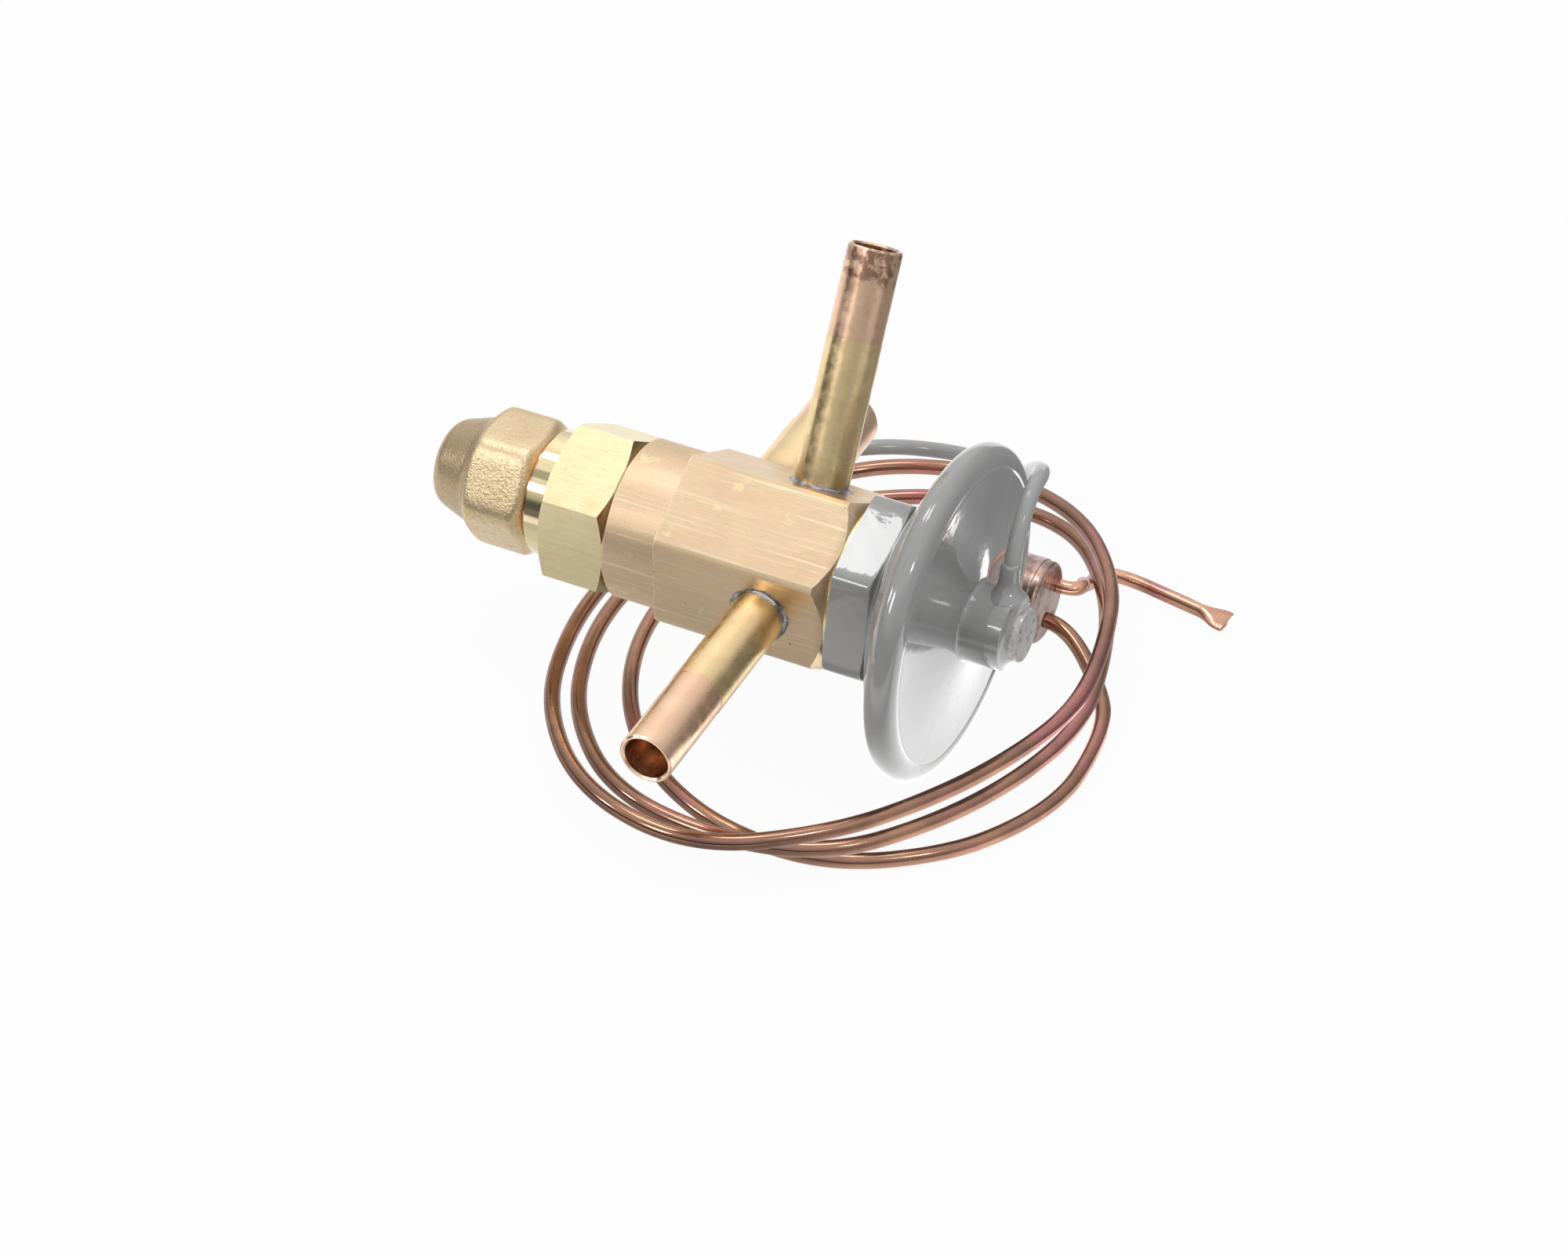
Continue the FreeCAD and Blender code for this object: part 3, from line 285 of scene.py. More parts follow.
def coil_run():
    """The loose turns, one point every sixteenth of a turn, each turn a tube lower than the last."""
    points = []
    for number, radius in enumerate(COIL_RADII):
        angle = COIL_START + COIL_STEP * number
        height = FLOOR + COIL_TOP + COIL_LIFT.get(number, 0.0)
        height -= COIL_STEP_DOWN * (fall(angle) + fall(angle - 360.0))
        x = COIL_CENTRE[0] + radius * math.cos(math.radians(angle))
        y = COIL_CENTRE[1] + radius * math.sin(math.radians(angle))
        points.append((x, y, height))
    return points


def spline_line(name, points, steps):
    """Centreline, in millimetres, of the smooth NURBS spline that has these control points."""
    curve = bpy.data.curves.new(name, "CURVE")
    curve.dimensions = "3D"
    curve.resolution_u = steps
    spline = curve.splines.new("NURBS")
    spline.points.add(len(points) - 1)
    for point, place in zip(spline.points, points):
        point.co = (*place, 1.0)
    spline.order_u = 3
    spline.use_endpoint_u = True
    helper = bpy.data.objects.new(name, curve)
    scene.collection.objects.link(helper)
    mesh = bpy.data.meshes.new_from_object(helper)
    line = np.zeros(len(mesh.vertices) * 3)
    mesh.vertices.foreach_get("co", line)
    bpy.data.objects.remove(helper)
    return line.reshape(-1, 3)


def carried(line, sides, first_side):
    """Side and up vectors at each point of a line, never twisting, and the angles round it.

    Each side vector is the one before it with its part along the new tangent taken out.
    """
    tangent = np.gradient(line, axis=0)
    tangent /= np.linalg.norm(tangent, axis=1)[:, None]
    side = np.zeros_like(line)
    last = np.asarray(first_side, float)
    for number, way in enumerate(tangent):
        last = last - way * (last @ way)
        last /= np.linalg.norm(last)
        side[number] = last
    up = np.cross(tangent, side)
    angle = np.arange(sides) / sides * TURN
    return side, up, angle


def tube(name, line, half_width, half_height, sides, first_side=(1.0, 0.0, 0.0)):
    """Closed bar along a line: point = centre + width cos(a) side + height sin(a) up.

    The attribute "along" keeps the distance from the start in millimetres at every vertex.
    """
    side, up, angle = carried(line, sides, first_side)
    wide = np.broadcast_to(half_width, len(line))[:, None, None]
    high = np.broadcast_to(half_height, len(line))[:, None, None]
    grid = line[:, None] + wide * np.cos(angle)[:, None] * side[:, None]
    grid = grid + high * np.sin(angle)[:, None] * up[:, None]
    piece = surface(name, grid)
    gone = lengths(line)
    along = piece.data.attributes.new("along", "FLOAT", "POINT")
    along.data.foreach_set("value", np.repeat(gone, sides).astype(np.float32))
    return piece, gone


route = [tuple(LEAD_ROOT)] + LEAD + coil_run() + BULB_RUN
capillary_line = spline_line("capillary_line", route, SPAN_STEPS)
capillary, capillary_gone = tube("capillary", capillary_line, TUBE_RADIUS, TUBE_RADIUS, TUBE_SIDES)
print("capillary:", round(capillary_gone[-1], 1), "mm long")

# %% [markdown]
# ## The charging tail
#
# The bulb is filled through a thinner tube, which is then pinched flat between toothed jaws.
# The same ring is carried along a second line, and near its end the ring grows wide and low.
# The teeth leave shallow grooves across the flat.

# %% The charging tail and its pinched tip
TAIL_RADIUS = 1.05
TIP_LENGTH = 3.2
TIP_HALF_WIDTH = 2.1
TIP_HALF_HEIGHT = 0.45
TOOTH_PITCH = 0.55
TOOTH_DEPTH = 0.07
PINCH_RUN = 1.6
PINCH_END = 0.9
TAIL_SIDES = 32
TAIL_STEPS = 40


def eased_step(value, low, high):
    """0 below low, 1 above high, and 3s^2 - 2s^3 between."""
    share = np.clip((value - low) / (high - low), 0, 1)
    return share * share * (3 - 2 * share)


tip_way = np.subtract(TAIL_RUN[-1], TAIL_RUN[-2])
tip_end = np.array(TAIL_RUN[-1]) + tip_way / np.linalg.norm(tip_way) * TIP_LENGTH
tail_line = spline_line("tail_line", TAIL_RUN + [tuple(tip_end)], TAIL_STEPS)
tail_gone = lengths(tail_line)
tail_length = tail_gone[-1]
pinch = eased_step(tail_gone, tail_length - TIP_LENGTH - PINCH_RUN, tail_length - PINCH_END)
teeth = TOOTH_DEPTH * np.cos(tail_gone / TOOTH_PITCH * TURN) * eased_step(pinch, 0.7, 1.0)
tail_wide = TAIL_RADIUS + (TIP_HALF_WIDTH - TAIL_RADIUS) * pinch
tail_high = TAIL_RADIUS + (TIP_HALF_HEIGHT - TAIL_RADIUS) * pinch + teeth
tail, _ = tube("pinched_tail", tail_line, tail_wide, tail_high, TAIL_SIDES, (0.0, -1.0, 0.0))
print("charging tail:", round(tail_length, 1), "mm long")

# %% Hide the solids that the soft tubes stand for, and hang the tubes on the root body
for piece, node in ((capillary, "capillary_tube"), (tail, "charging_tail")):
    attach(piece, "root")
    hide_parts(node)

# %% [markdown]
# ## The seal cap
#
# The cap is hot-stamped: brass pressed red-hot in a die, so no corner on it is sharp and its
# hexagon melts into the shoulder, the waist and the blunt nose. One way to draw that is a turned
# outline whose radius is softly limited by a rounded hexagon, worked out for the whole grid.

# %% The seal cap
CAP_FLATS = 18.5
CAP_CORNER = 57.5
CAP_BORE = 7.1
CAP_WELL = 4.4
CAP_CORNER_SHARPNESS = 17
CAP_SHOULDER_SHARPNESS = 26


def cap_radius(station, angle, radius):
    """Soft minimum of the turned radius and the cap's hexagon."""
    limit = hexagon(angle, CAP_FLATS / 2, CAP_CORNER, CAP_CORNER_SHARPNESS)
    return smaller(np.maximum(radius, 1e-3), limit, CAP_SHOULDER_SHARPNESS)


cap_outline = np.vstack([
    eased([
        (-53.2, 0.0, 0), (-52.0, CAP_WELL, 0.2), (-46.4, CAP_WELL, 0.1), (-46.4, CAP_BORE, 0.1),
        (-39.3, CAP_BORE, 0.15), (-39.3, 8.6, 0.3), (-40.9, 10.7, 0.7), (-48.0, 10.7, 1.0),
        (-49.5, 8.2, 0.9), (-54.25, 6.6, 0),
    ]),
    bow((-54.25, 6.6), (-56.0, 3.9), -2.8)[1:],
    [(-56.0, 0.0)],
])
cap_grid = turned(evenly(cap_outline, 0.25), columns=192, radius_limit=cap_radius)
seal_cap = surface("stamped_seal_cap", cap_grid)

# %% [markdown]
# ## The painted power element
#
# The element is two dished sheets with their rims rolled together over a diaphragm. It was dipped
# in thick enamel, which rounds every corner and fills every seam. The collar, the flare and the
# rolled rim are one turned outline; only the collar's stations are limited by a hexagon.

# %% Element base: collar, flare and rolled rim
COLLAR_FLATS = 25.4
COLLAR_CORNER = 17.75
COLLAR_END = 16.7
RIM_STATION = 23.55
RIM_RADIUS = 22.25
RIM_HALF_WIDTH = 2.35
RIM_HALF_HEIGHT = 2.38
COLLAR_SHARPNESS = 60


def collar_radius(station, angle, radius):
    """The collar's hexagon for stations on the collar, the plain radius past its end."""
    limit = hexagon(angle, COLLAR_FLATS / 2, COLLAR_CORNER, COLLAR_SHARPNESS)
    return np.where(station < COLLAR_END, smaller(radius, limit, COLLAR_SHARPNESS), radius)


roll_angle = np.radians(np.linspace(180, -22, 46))
rim = np.stack([
    RIM_STATION + RIM_HALF_WIDTH * np.cos(roll_angle),
    RIM_RADIUS + RIM_HALF_HEIGHT * np.sin(roll_angle),
], axis=1)
base_outline = np.vstack([
    eased([
        (10.5, 10.05, 0), (10.5, 14.5, 0.35), (16.35, 14.5, 0.45), (16.6, 13.2, 0.1),
        (16.85, 12.9, 0.15), (17.1, 13.3, 0),
    ]),
    bow((17.1, 13.3), (20.6, 21.0), 30.0)[1:],
    eased([(20.6, 21.0, 0), (21.1, 21.8, 0.4), (21.2, 22.25, 0)])[1:],
    rim[1:],
    eased([
        (*rim[-1], 0), (24.9, 20.6, 0.1), (23.9, 20.6, 0.1), (23.9, 21.4, 0.1),
        (22.7, 21.4, 0.1), (16.4, 11.0, 0.1), (16.4, 10.05, 0.05),
    ])[1:],
])
base_grid = turned(evenly(base_outline, 0.3), columns=216, radius_limit=collar_radius)
painted_base = surface("painted_element_base", base_grid, ring=True)

# %% Element cover: a shallow dish that ends in a fillet of paint against the rim
HUB_ROOT = (27.3, 6.1)
COVER_EDGE = (25.75, 21.3)
cover_outline = np.vstack([
    [(26.1, 0.0), (27.35, 0.0), (27.35, 5.7)],
    bow(HUB_ROOT, COVER_EDGE, 85.0, 60),
    eased([
        (*COVER_EDGE, 0), (25.4, 22.2, 0.2), (24.2, 22.2, 0.1), (24.2, 20.4, 0.2),
        (26.0, 6.0, 0.3), (26.1, 0.0, 0),
    ])[1:-1],
])
painted_cover = surface("painted_element_cover", turned(cover_outline, columns=216))

# %% Hub: a round boss whose paint flows out onto the cover, and the braze round the capillary
HUB_END = 35.2
HUB_RADIUS = 5.7
HUB_ROUNDING = 33.35
hub_outline = np.vstack([
    [(26.6, 0.0), (26.6, 6.0)],
    eased([
        (27.25, 6.2, 0), (27.42, HUB_RADIUS + 0.08, 0.25), (28.0, HUB_RADIUS, 0.3),
        (HUB_ROUNDING, HUB_RADIUS, 0),
    ]),
    bow((HUB_ROUNDING, HUB_RADIUS), (HUB_END, 3.95), -1.85, 14)[1:],
    [(HUB_END + 0.03, 2.5), (HUB_END + 0.04, 1.2), (HUB_END + 0.04, 0.0)],
])
painted_hub = surface("painted_hub", turned(evenly(hub_outline, 0.35), columns=120))
braze_outline = eased([
    (2.0, 0.0, 0), (2.0, 3.2, 0.2), (5.0, 3.2, 0.8), (5.9, 2.1, 0.9),
    (7.2, 1.55, 0.8), (9.6, 1.38, 0.3), (10.0, 1.2, 0.1), (10.0, 0.0, 0),
], 10)
braze = surface("painted_braze", turned(evenly(braze_outline, 0.3), LEAD_WAY, LEAD_START, 64))

# %% [markdown]
# ## Solder rings
#
# Where a tube enters the body, molten solder has drawn itself into the corner as a thin concave
# ring. Capillary force pulls it up unevenly, so its width and climb swell and shrink round the
# tube: each is a mean value times one plus a few sines of the angle.

# %% Solder rings round the three tubes
BODY_APOTHEM = 12.1
SOLDER_WIDTH = 0.62
SOLDER_CLIMB = 0.55
SOLDER_STEPS = 12
SOLDER_COLUMNS = 96


def solder_ring(name, way, start, tube_radius, seed):
    """Concave fillet: for t from 0 to 1, out = width (1-t)^2 and climb = height t^2."""
    t = np.linspace(0, 1, SOLDER_STEPS)[:, None]
    angle = np.arange(SOLDER_COLUMNS) / SOLDER_COLUMNS * TURN
    swell = 1 + 0.22 * np.sin(2 * angle + seed) + 0.16 * np.sin(5 * angle + 2 * seed)
    swell += 0.08 * np.sin(11 * angle)
    whole = np.ones(SOLDER_COLUMNS)
    out = np.vstack([SOLDER_WIDTH * (1 - t) ** 2 * swell, -0.15 * whole, -0.15 * whole])
    climb = np.vstack([SOLDER_CLIMB * t ** 2 * swell, SOLDER_CLIMB * whole, -0.1 * whole])
    spoke = np.tile([0.0, 1.0], (SOLDER_STEPS + 2, 1))
    flat = turned(spoke, way, (0, 0, 0), SOLDER_COLUMNS)
    rise = np.asarray(way, float) * (BODY_APOTHEM + climb[..., None])
    spokes = flat * (tube_radius + out)[..., None]
    return surface(name, np.asarray(start, float) + rise + spokes, ring=True)


INLET_WAY = (0.0, -1.0, 0.0)
EQUALIZER_WAY = (0.0, 0.5, 0.8660254)
OUTLET_WAY = (0.0, 1.0, 0.0)
EQUALIZER_STATION = 0.8
OUTLET_STATION = -9.2
SMALL_TUBE = 3.97
WIDE_TUBE = 5.65
solder_rings = [
    solder_ring("inlet_solder_ring", INLET_WAY, (0.0, 0.0, 0.0), SMALL_TUBE, 0.4),
    solder_ring("equalizer_solder_ring", EQUALIZER_WAY, (EQUALIZER_STATION, 0.0, 0.0), SMALL_TUBE, 1.9),
    solder_ring("outlet_solder_ring", OUTLET_WAY, (OUTLET_STATION, 0.0, 0.0), WIDE_TUBE, 3.1),
]

# %% Hide the solids that these skins stand for, and hang each skin on its body
STANDS_FOR = [
    (seal_cap, "seal_cap", "cap", "cast_brass"),
    (painted_base, "element_base", "root", "grey_enamel"),
    (painted_cover, "element_cover", "root", "grey_enamel"),
    (painted_hub, "hub_boss", "root", "grey_enamel"),
    (braze, "capillary_braze", "root", "grey_enamel"),
]
STANDS_FOR += [(ring, ring.name[:-5], "root", "solder") for ring in solder_rings]
for piece, node, body, slot in STANDS_FOR:
    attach(piece, body)
    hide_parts(node)
print("new skins:", ", ".join(piece.name for piece, *_ in STANDS_FOR))

# %% [markdown]
# ## Floor, sky and lamps
#
# Bare metal has hardly a colour of its own: it shows what stands round it. So the valve lies on
# a white table in a tent of white cloth, which is brightest overhead and behind, and darker near
# the table. Five small lamps put the crisp highlights on the enamel and the coil. One way to
# light a tent is a world whose brightness depends on the direction: a ramp from the table's edge
# to the zenith, and soft windows, each of which is a spot round a direction of its own.
# Mirror rays that meet the table see the bright and dark zones which the photo's reflections
# show; the camera sees it white, and every other ray sees plain paper.

# %% A helper for nodes
def new_tree(name):
    """A material with an empty node tree, and its output node."""
    material = bpy.data.materials.new(name)
    material.use_nodes = True
    material.node_tree.nodes.clear()
    return material, material.node_tree


def put(tree, kind, values=None, **settings):
    """Add a node, choose its settings, and fill its inputs with numbers, colours or links."""
    node = tree.nodes.new("ShaderNode" + kind)
    for setting, choice in settings.items():
        setattr(node, setting, choice)
    for socket, value in (values or {}).items():
        if isinstance(value, bpy.types.NodeSocket):
            tree.links.new(value, node.inputs[socket])
        else:
            node.inputs[socket].default_value = value
    return node


def math_node(tree, operation, first, second):
    return put(tree, "Math", {0: first, 1: second}, operation=operation).outputs[0]


def times(tree, first, second):
    return math_node(tree, "MULTIPLY", first, second)


def measure(tree, operation, first, second):
    """The number that two vectors give: DOT_PRODUCT or DISTANCE."""
    return put(tree, "VectorMath", {0: first, 1: second}, operation=operation).outputs["Value"]


def part_of(tree, vector, letter):
    """The X, Y or Z of a vector."""
    return put(tree, "SeparateXYZ", {0: vector}).outputs[letter]


def between(tree, share, first, second):
    """The first number where the share is 0, the second where it is 1."""
    return put(tree, "Mix", {0: share, 2: first, 3: second}).outputs[0]


def spread(tree, value, low, high, to_low=0.0, to_high=1.0):
    """Map a value's range to another, held at both ends and eased between."""
    values = {"Value": value, "From Min": low, "From Max": high, "To Min": to_low, "To Max": to_high}
    return put(tree, "MapRange", values, interpolation_type="SMOOTHSTEP").outputs[0]


def millimetres(tree, turn=(0, 0, 0), stretch=(1, 1, 1)):
    """Object coordinates in millimetres from the crossing point, turned (radians) and stretched."""
    place = put(tree, "TexCoord").outputs["Object"]
    values = {"Vector": place, "Location": tuple(-CROSSING), "Scale": (1 / MM,) * 3}
    place = put(tree, "Mapping", values).outputs[0]
    values = {"Vector": place, "Rotation": turn, "Scale": stretch}
    return put(tree, "Mapping", values).outputs[0]


def towards(turn, rise):
    """Unit vector at a turn from +X towards +Y and a rise above the table, in degrees."""
    turn = math.radians(turn)
    rise = math.radians(rise)
    return (math.cos(turn) * math.cos(rise), math.sin(turn) * math.cos(rise), math.sin(rise))


# %% The table
FLOOR_SIZE = 3.0
FRONT_GLOW = 0.48
BACK_GLOW = 1.05
NEAR_GLOW = 1.7
FAR_GLOW = 0.30
NEAR_EDGE = 24.0
BRIGHT_SPOT = (47.5, 47.5)
SPOT_RADIUS = (5.5, 4.5)
SPOT_GLOW = 2.6
BRIGHTENING = (-20.0, 60.0)
FRONT_BAND = (50.0, 66.0)
FRONT_BAND_GLOW = 0.50
FRONT_FADE = (80.0, 135.0)
FRONT_FADE_LEFT = 0.18
RIGHT_SIDE = (5.0, 22.0)
RIGHT_FRONT = (-45.0, -15.0)
LONG_RAY = (30.0, 45.0)
CAMERA_GLOW = 0.95
floor_mesh = bpy.data.meshes.new("table_top")
half = FLOOR_SIZE / 2
floor_corners = [(-half, -half, 0), (half, -half, 0), (half, half, 0), (-half, half, 0)]
floor_mesh.from_pydata(floor_corners, [], [(0, 1, 2, 3)])
floor = bpy.data.objects.new("table_top", floor_mesh)
scene.collection.objects.link(floor)

floor_paint, tree = new_tree("white_table")
spot = millimetres(tree)


def along_table(x, y):
    """How far a place on the table lies along a direction, in millimetres."""
    return measure(tree, "DOT_PRODUCT", spot, (x, y, 0.0))


# The table's glow for mirror rays is painted light and shade: a dim zone in front of the valve stands
# for its shadow, darker zones further off and for long rays stand for a darker room, and the near zone,
# the front band and the bright spot are painted pools of light.
mirror_glow = spread(tree, along_table(-0.64, 0.77), *BRIGHTENING, FRONT_GLOW, BACK_GLOW)
front_way = along_table(0.0, -1.0)
front_band = spread(tree, front_way, *FRONT_BAND, 0.0, FRONT_BAND_GLOW)
mirror_glow = math_node(tree, "ADD", mirror_glow, front_band)
front_fade = spread(tree, front_way, *FRONT_FADE, 1.0, FRONT_FADE_LEFT)
mirror_glow = times(tree, mirror_glow, front_fade)
to_right = spread(tree, along_table(1.0, 0.0), *RIGHT_SIDE)
to_right = times(tree, to_right, spread(tree, along_table(0.0, 1.0), *RIGHT_FRONT))
ray = put(tree, "LightPath")
from_above = spread(tree, ray.outputs["Ray Length"], LONG_RAY[0] * MM, LONG_RAY[1] * MM)
far_light = between(tree, from_above, mirror_glow, FAR_GLOW)
is_near = spread(tree, along_table(0.165, 1.0), NEAR_EDGE + 1.0, NEAR_EDGE - 1.0)
near_light = between(tree, is_near, far_light, NEAR_GLOW)
away = measure(tree, "DISTANCE", spot, (*BRIGHT_SPOT, FLOOR))
near_light = math_node(tree, "ADD", near_light, spread(tree, away, *SPOT_RADIUS, 0.0, SPOT_GLOW))
mirror_glow = between(tree, to_right, mirror_glow, near_light)
paper = put(tree, "BsdfDiffuse", {"Color": (0.72, 0.72, 0.72, 1)})
white = put(tree, "Emission", {"Color": (1, 1, 1, 1), "Strength": 1.0})
mirrored = put(tree, "Emission", {"Color": (1, 1, 1, 1), "Strength": mirror_glow})
seen = times(tree, ray.outputs["Is Camera Ray"], CAMERA_GLOW)
seen = math_node(tree, "MAXIMUM", seen, ray.outputs["Is Transmission Ray"])
mixed = put(tree, "MixShader", {0: seen, 1: paper.outputs[0], 2: white.outputs[0]})
is_mirror = ray.outputs["Is Glossy Ray"]
mixed = put(tree, "MixShader", {0: is_mirror, 1: mixed.outputs[0], 2: mirrored.outputs[0]})
put(tree, "OutputMaterial", {"Surface": mixed.outputs[0]})
floor_mesh.materials.append(floor_paint)

# %% The tent
SKY = [(0.0, 0.45), (0.20, 0.52), (0.50, 0.82), (0.85, 1.22)]
# Each window: its turn and rise, the outer and inner angle of its edge, and what it adds.
WINDOWS = [
    (-8, 0, 30, 10, 0.35),
    (122, 22, 40, 15, 0.45),
    (-135, 55, 9, 5, -0.65),
]
# Low in front, where the tent is open, the room behind the camera is dark.
DARK_ROOM = -114
DARK_GLOW = 0.13
DARK_SIDE = (0.25, 0.75)
DARK_TOP = (0.32, 0.16)
world = bpy.data.worlds.new("white_tent")
scene.world = world
world.use_nodes = True
world.node_tree.nodes.clear()
tree = world.node_tree
direction = put(tree, "TexCoord").outputs["Generated"]
height = part_of(tree, direction, "Z")
ramp = put(tree, "ValToRGB", {0: height})
ramp.color_ramp.interpolation = "EASE"
for number, (place, grey) in enumerate(SKY):
    stops = ramp.color_ramp.elements
    stop = stops[number] if number < 2 else stops.new(place)
    stop.position = place
    stop.color = (grey, grey, grey, 1)
radiance = put(tree, "RGBToBW", {0: ramp.outputs[0]}).outputs[0]
for turn, rise, outer, inner, extra in WINDOWS:
    facing = measure(tree, "DOT_PRODUCT", direction, towards(turn, rise))
    edge = [math.cos(math.radians(angle)) for angle in (outer, inner)]
    radiance = math_node(tree, "ADD", radiance, spread(tree, facing, *edge, 0.0, extra))
facing = measure(tree, "DOT_PRODUCT", direction, towards(DARK_ROOM, 0))
is_low = spread(tree, height, *DARK_TOP)
dark_room = times(tree, spread(tree, facing, *DARK_SIDE), is_low)
radiance = between(tree, dark_room, radiance, DARK_GLOW)
ray = put(tree, "LightPath")
seen = math_node(tree, "MAXIMUM", ray.outputs["Is Camera Ray"], ray.outputs["Is Transmission Ray"])
radiance = between(tree, seen, radiance, 1.0)
room = put(tree, "Background", {"Strength": radiance})
put(tree, "OutputWorld", {"Surface": room.outputs[0]})

# %% The lamps
LAMP_DISTANCE = 0.9
# Each lamp: its turn and rise in degrees, its width and height in metres, and its radiance.
LAMPS = {
    "front_window": (-117, 36, 0.22, 0.18, 7.0),
    "left_lamp": (-147, 27, 0.09, 0.12, 14.0),
    "right_lamp": (-34, 50, 0.09, 0.09, 14.0),
    "top_lamp": (155, 66, 0.16, 0.16, 6.0),
    "roof_lamp": (105, 80, 0.20, 0.20, 4.4),
}
for name, (turn, rise, wide, tall, lamp_radiance) in LAMPS.items():
    lamp = bpy.data.lights.new(name, "AREA")
    lamp.shape = "RECTANGLE"
    lamp.size = wide
    lamp.size_y = tall
    lamp.energy = lamp_radiance * math.pi * wide * tall
    holder = bpy.data.objects.new(name, lamp)
    way = Vector(towards(turn, rise))
    holder.location = way * LAMP_DISTANCE
    holder.rotation_euler = (-way).to_track_quat("-Z", "Y").to_euler()
    holder.visible_camera = False
    scene.collection.objects.link(holder)
print("lamps:", ", ".join(LAMPS))

# %% [markdown]
# ## Shared effects
#
# Wear along an edge, blotches, fine machining lines and dark specks turn up in nearly every
# finish here. Each is one node group, built once, and placed in a material with its own values.
# Patterns are measured in millimetres from the valve's crossing point.

# %% A helper for node groups
SOCKETS = {"number": "NodeSocketFloat", "place": "NodeSocketVector"}


def new_group(name, inputs, outputs):
    """An empty shader node group with named inputs and outputs."""
    tree = bpy.data.node_groups.new(name, "ShaderNodeTree")
    for word, (kind, value) in inputs.items():
        socket = tree.interface.new_socket(name=word, in_out="INPUT", socket_type=SOCKETS[kind])
        if value is not None:
            socket.default_value = value
    for word, kind in outputs.items():
        tree.interface.new_socket(name=word, in_out="OUTPUT", socket_type=SOCKETS[kind])
    given = tree.nodes.new("NodeGroupInput")
    result = tree.nodes.new("NodeGroupOutput")
    return tree, given.outputs, result.inputs


def effect(tree, group, **values):
    """Place a shared group in a material. Input names are written with underscores."""
    values = {word.replace("_", " "): value for word, value in values.items()}
    return put(tree, "Group", values, node_tree=group)


def mask(tree, group, **values):
    """Place a shared group that gives one mask, and take that mask."""
    return effect(tree, group, **values).outputs[0]


def mix(tree, share, first, second, blend="MIX"):
    """Mix two colours by a share. Each colour is a link, or three numbers."""
    values = {0: share, 6: first, 7: second}
    for socket in (6, 7):
        if isinstance(values[socket], tuple):
            values[socket] = (*values[socket], 1.0)
    return put(tree, "Mix", values, data_type="RGBA", blend_type=blend).outputs[2]


def over(tree, colour, layer, where, amount=1.0):
    """Lay one colour over another where a mask says, by an amount of it."""
    if amount != 1.0:
        where = times(tree, where, amount)
    return mix(tree, where, colour, layer)


def noise(tree, place, scale, detail, roughness=0.5):
    """Cloudy noise from 0 to 1, with so many clouds to a millimetre."""
    values = {"Vector": place, "Scale": scale, "Detail": detail, "Roughness": roughness}
    return put(tree, "TexNoise", values).outputs["Fac"]


# %% Wear along edges: where a softened normal leaves the true one
worn_edges, given, result = new_group(
    "worn_edges", {"Width": ("number", 0.4), "Place": ("place", None)}, {"Mask": "number"})
width = times(worn_edges, given["Width"], MM)
soft = put(worn_edges, "Bevel", {"Radius": width}, samples=4).outputs[0]
true = put(worn_edges, "NewGeometry").outputs["Normal"]
same = measure(worn_edges, "DOT_PRODUCT", soft, true)
ragged = noise(worn_edges, given["Place"], 1.1, 5.0)
edge = spread(worn_edges, same, 0.985, 0.90)
worn = spread(worn_edges, ragged, 0.35, 0.60)
worn_edges.links.new(times(worn_edges, edge, worn), result["Mask"])


def edge_wear(tree, place, width):
    return mask(tree, worn_edges, Width=width, Place=place)


# %% Blotches: soft noise of many sizes, cut at a level
blotches, given, result = new_group(
    "blotches",
    {"Place": ("place", None), "Size": ("number", 5.0), "Level": ("number", 0.5),
     "Softness": ("number", 0.15)},
    {"Mask": "number"})
fineness = math_node(blotches, "DIVIDE", 1.0, given["Size"])
cloud = noise(blotches, given["Place"], fineness, 6.0, 0.6)
low = math_node(blotches, "SUBTRACT", given["Level"], given["Softness"])
high = math_node(blotches, "ADD", given["Level"], given["Softness"])
blotches.links.new(spread(blotches, cloud, low, high), result["Mask"])


def blotch(tree, place, size, level, softness):
    return mask(tree, blotches, Place=place, Size=size, Level=level, Softness=softness)


# %% Machining lines: noise stretched along one way, given by the place that comes in
fine_lines, given, result = new_group(
    "fine_lines", {"Place": ("place", None), "Spacing": ("number", 0.3)},
    {"Height": "number", "Mask": "number"})
fineness = math_node(fine_lines, "DIVIDE", 1.0, given["Spacing"])
relief = noise(fine_lines, given["Place"], fineness, 4.0, 0.7)
fine_lines.links.new(relief, result["Height"])
fine_lines.links.new(spread(fine_lines, relief, 0.55, 0.75), result["Mask"])

# %% Specks: small cells, of which only a share is dark
specks, given, result = new_group(
    "specks",
    {"Place": ("place", None), "Pitch": ("number", 1.5), "Radius": ("number", 0.15),
     "Share": ("number", 0.3)},
    {"Mask": "number"})
fineness = math_node(specks, "DIVIDE", 1.0, given["Pitch"])
cells = put(specks, "TexVoronoi", {"Vector": given["Place"], "Scale": fineness})
reach = math_node(specks, "DIVIDE", given["Radius"], given["Pitch"])
chance = put(specks, "SeparateColor", {0: cells.outputs["Color"]})
chosen = math_node(specks, "LESS_THAN", chance.outputs[0], given["Share"])
size = times(specks, reach, math_node(specks, "ADD", chance.outputs[1], 0.3))
near = math_node(specks, "LESS_THAN", cells.outputs["Distance"], size)
specks.links.new(times(specks, near, chosen), result["Mask"])


# %% The shader that every finish starts from
def finish(name, metallic, roughness, **sockets):
    """A material with one Principled shader, its plain numbers set, and a place for patterns."""
    material, tree = new_tree(name)
    values = {"Metallic": metallic, "Roughness": roughness}
    values.update({word.replace("_", " "): value for word, value in sockets.items()})
    shader = put(tree, "BsdfPrincipled", values)
    put(tree, "OutputMaterial", {"Surface": shader.outputs[0]})
    return material, tree, shader, millimetres(tree)


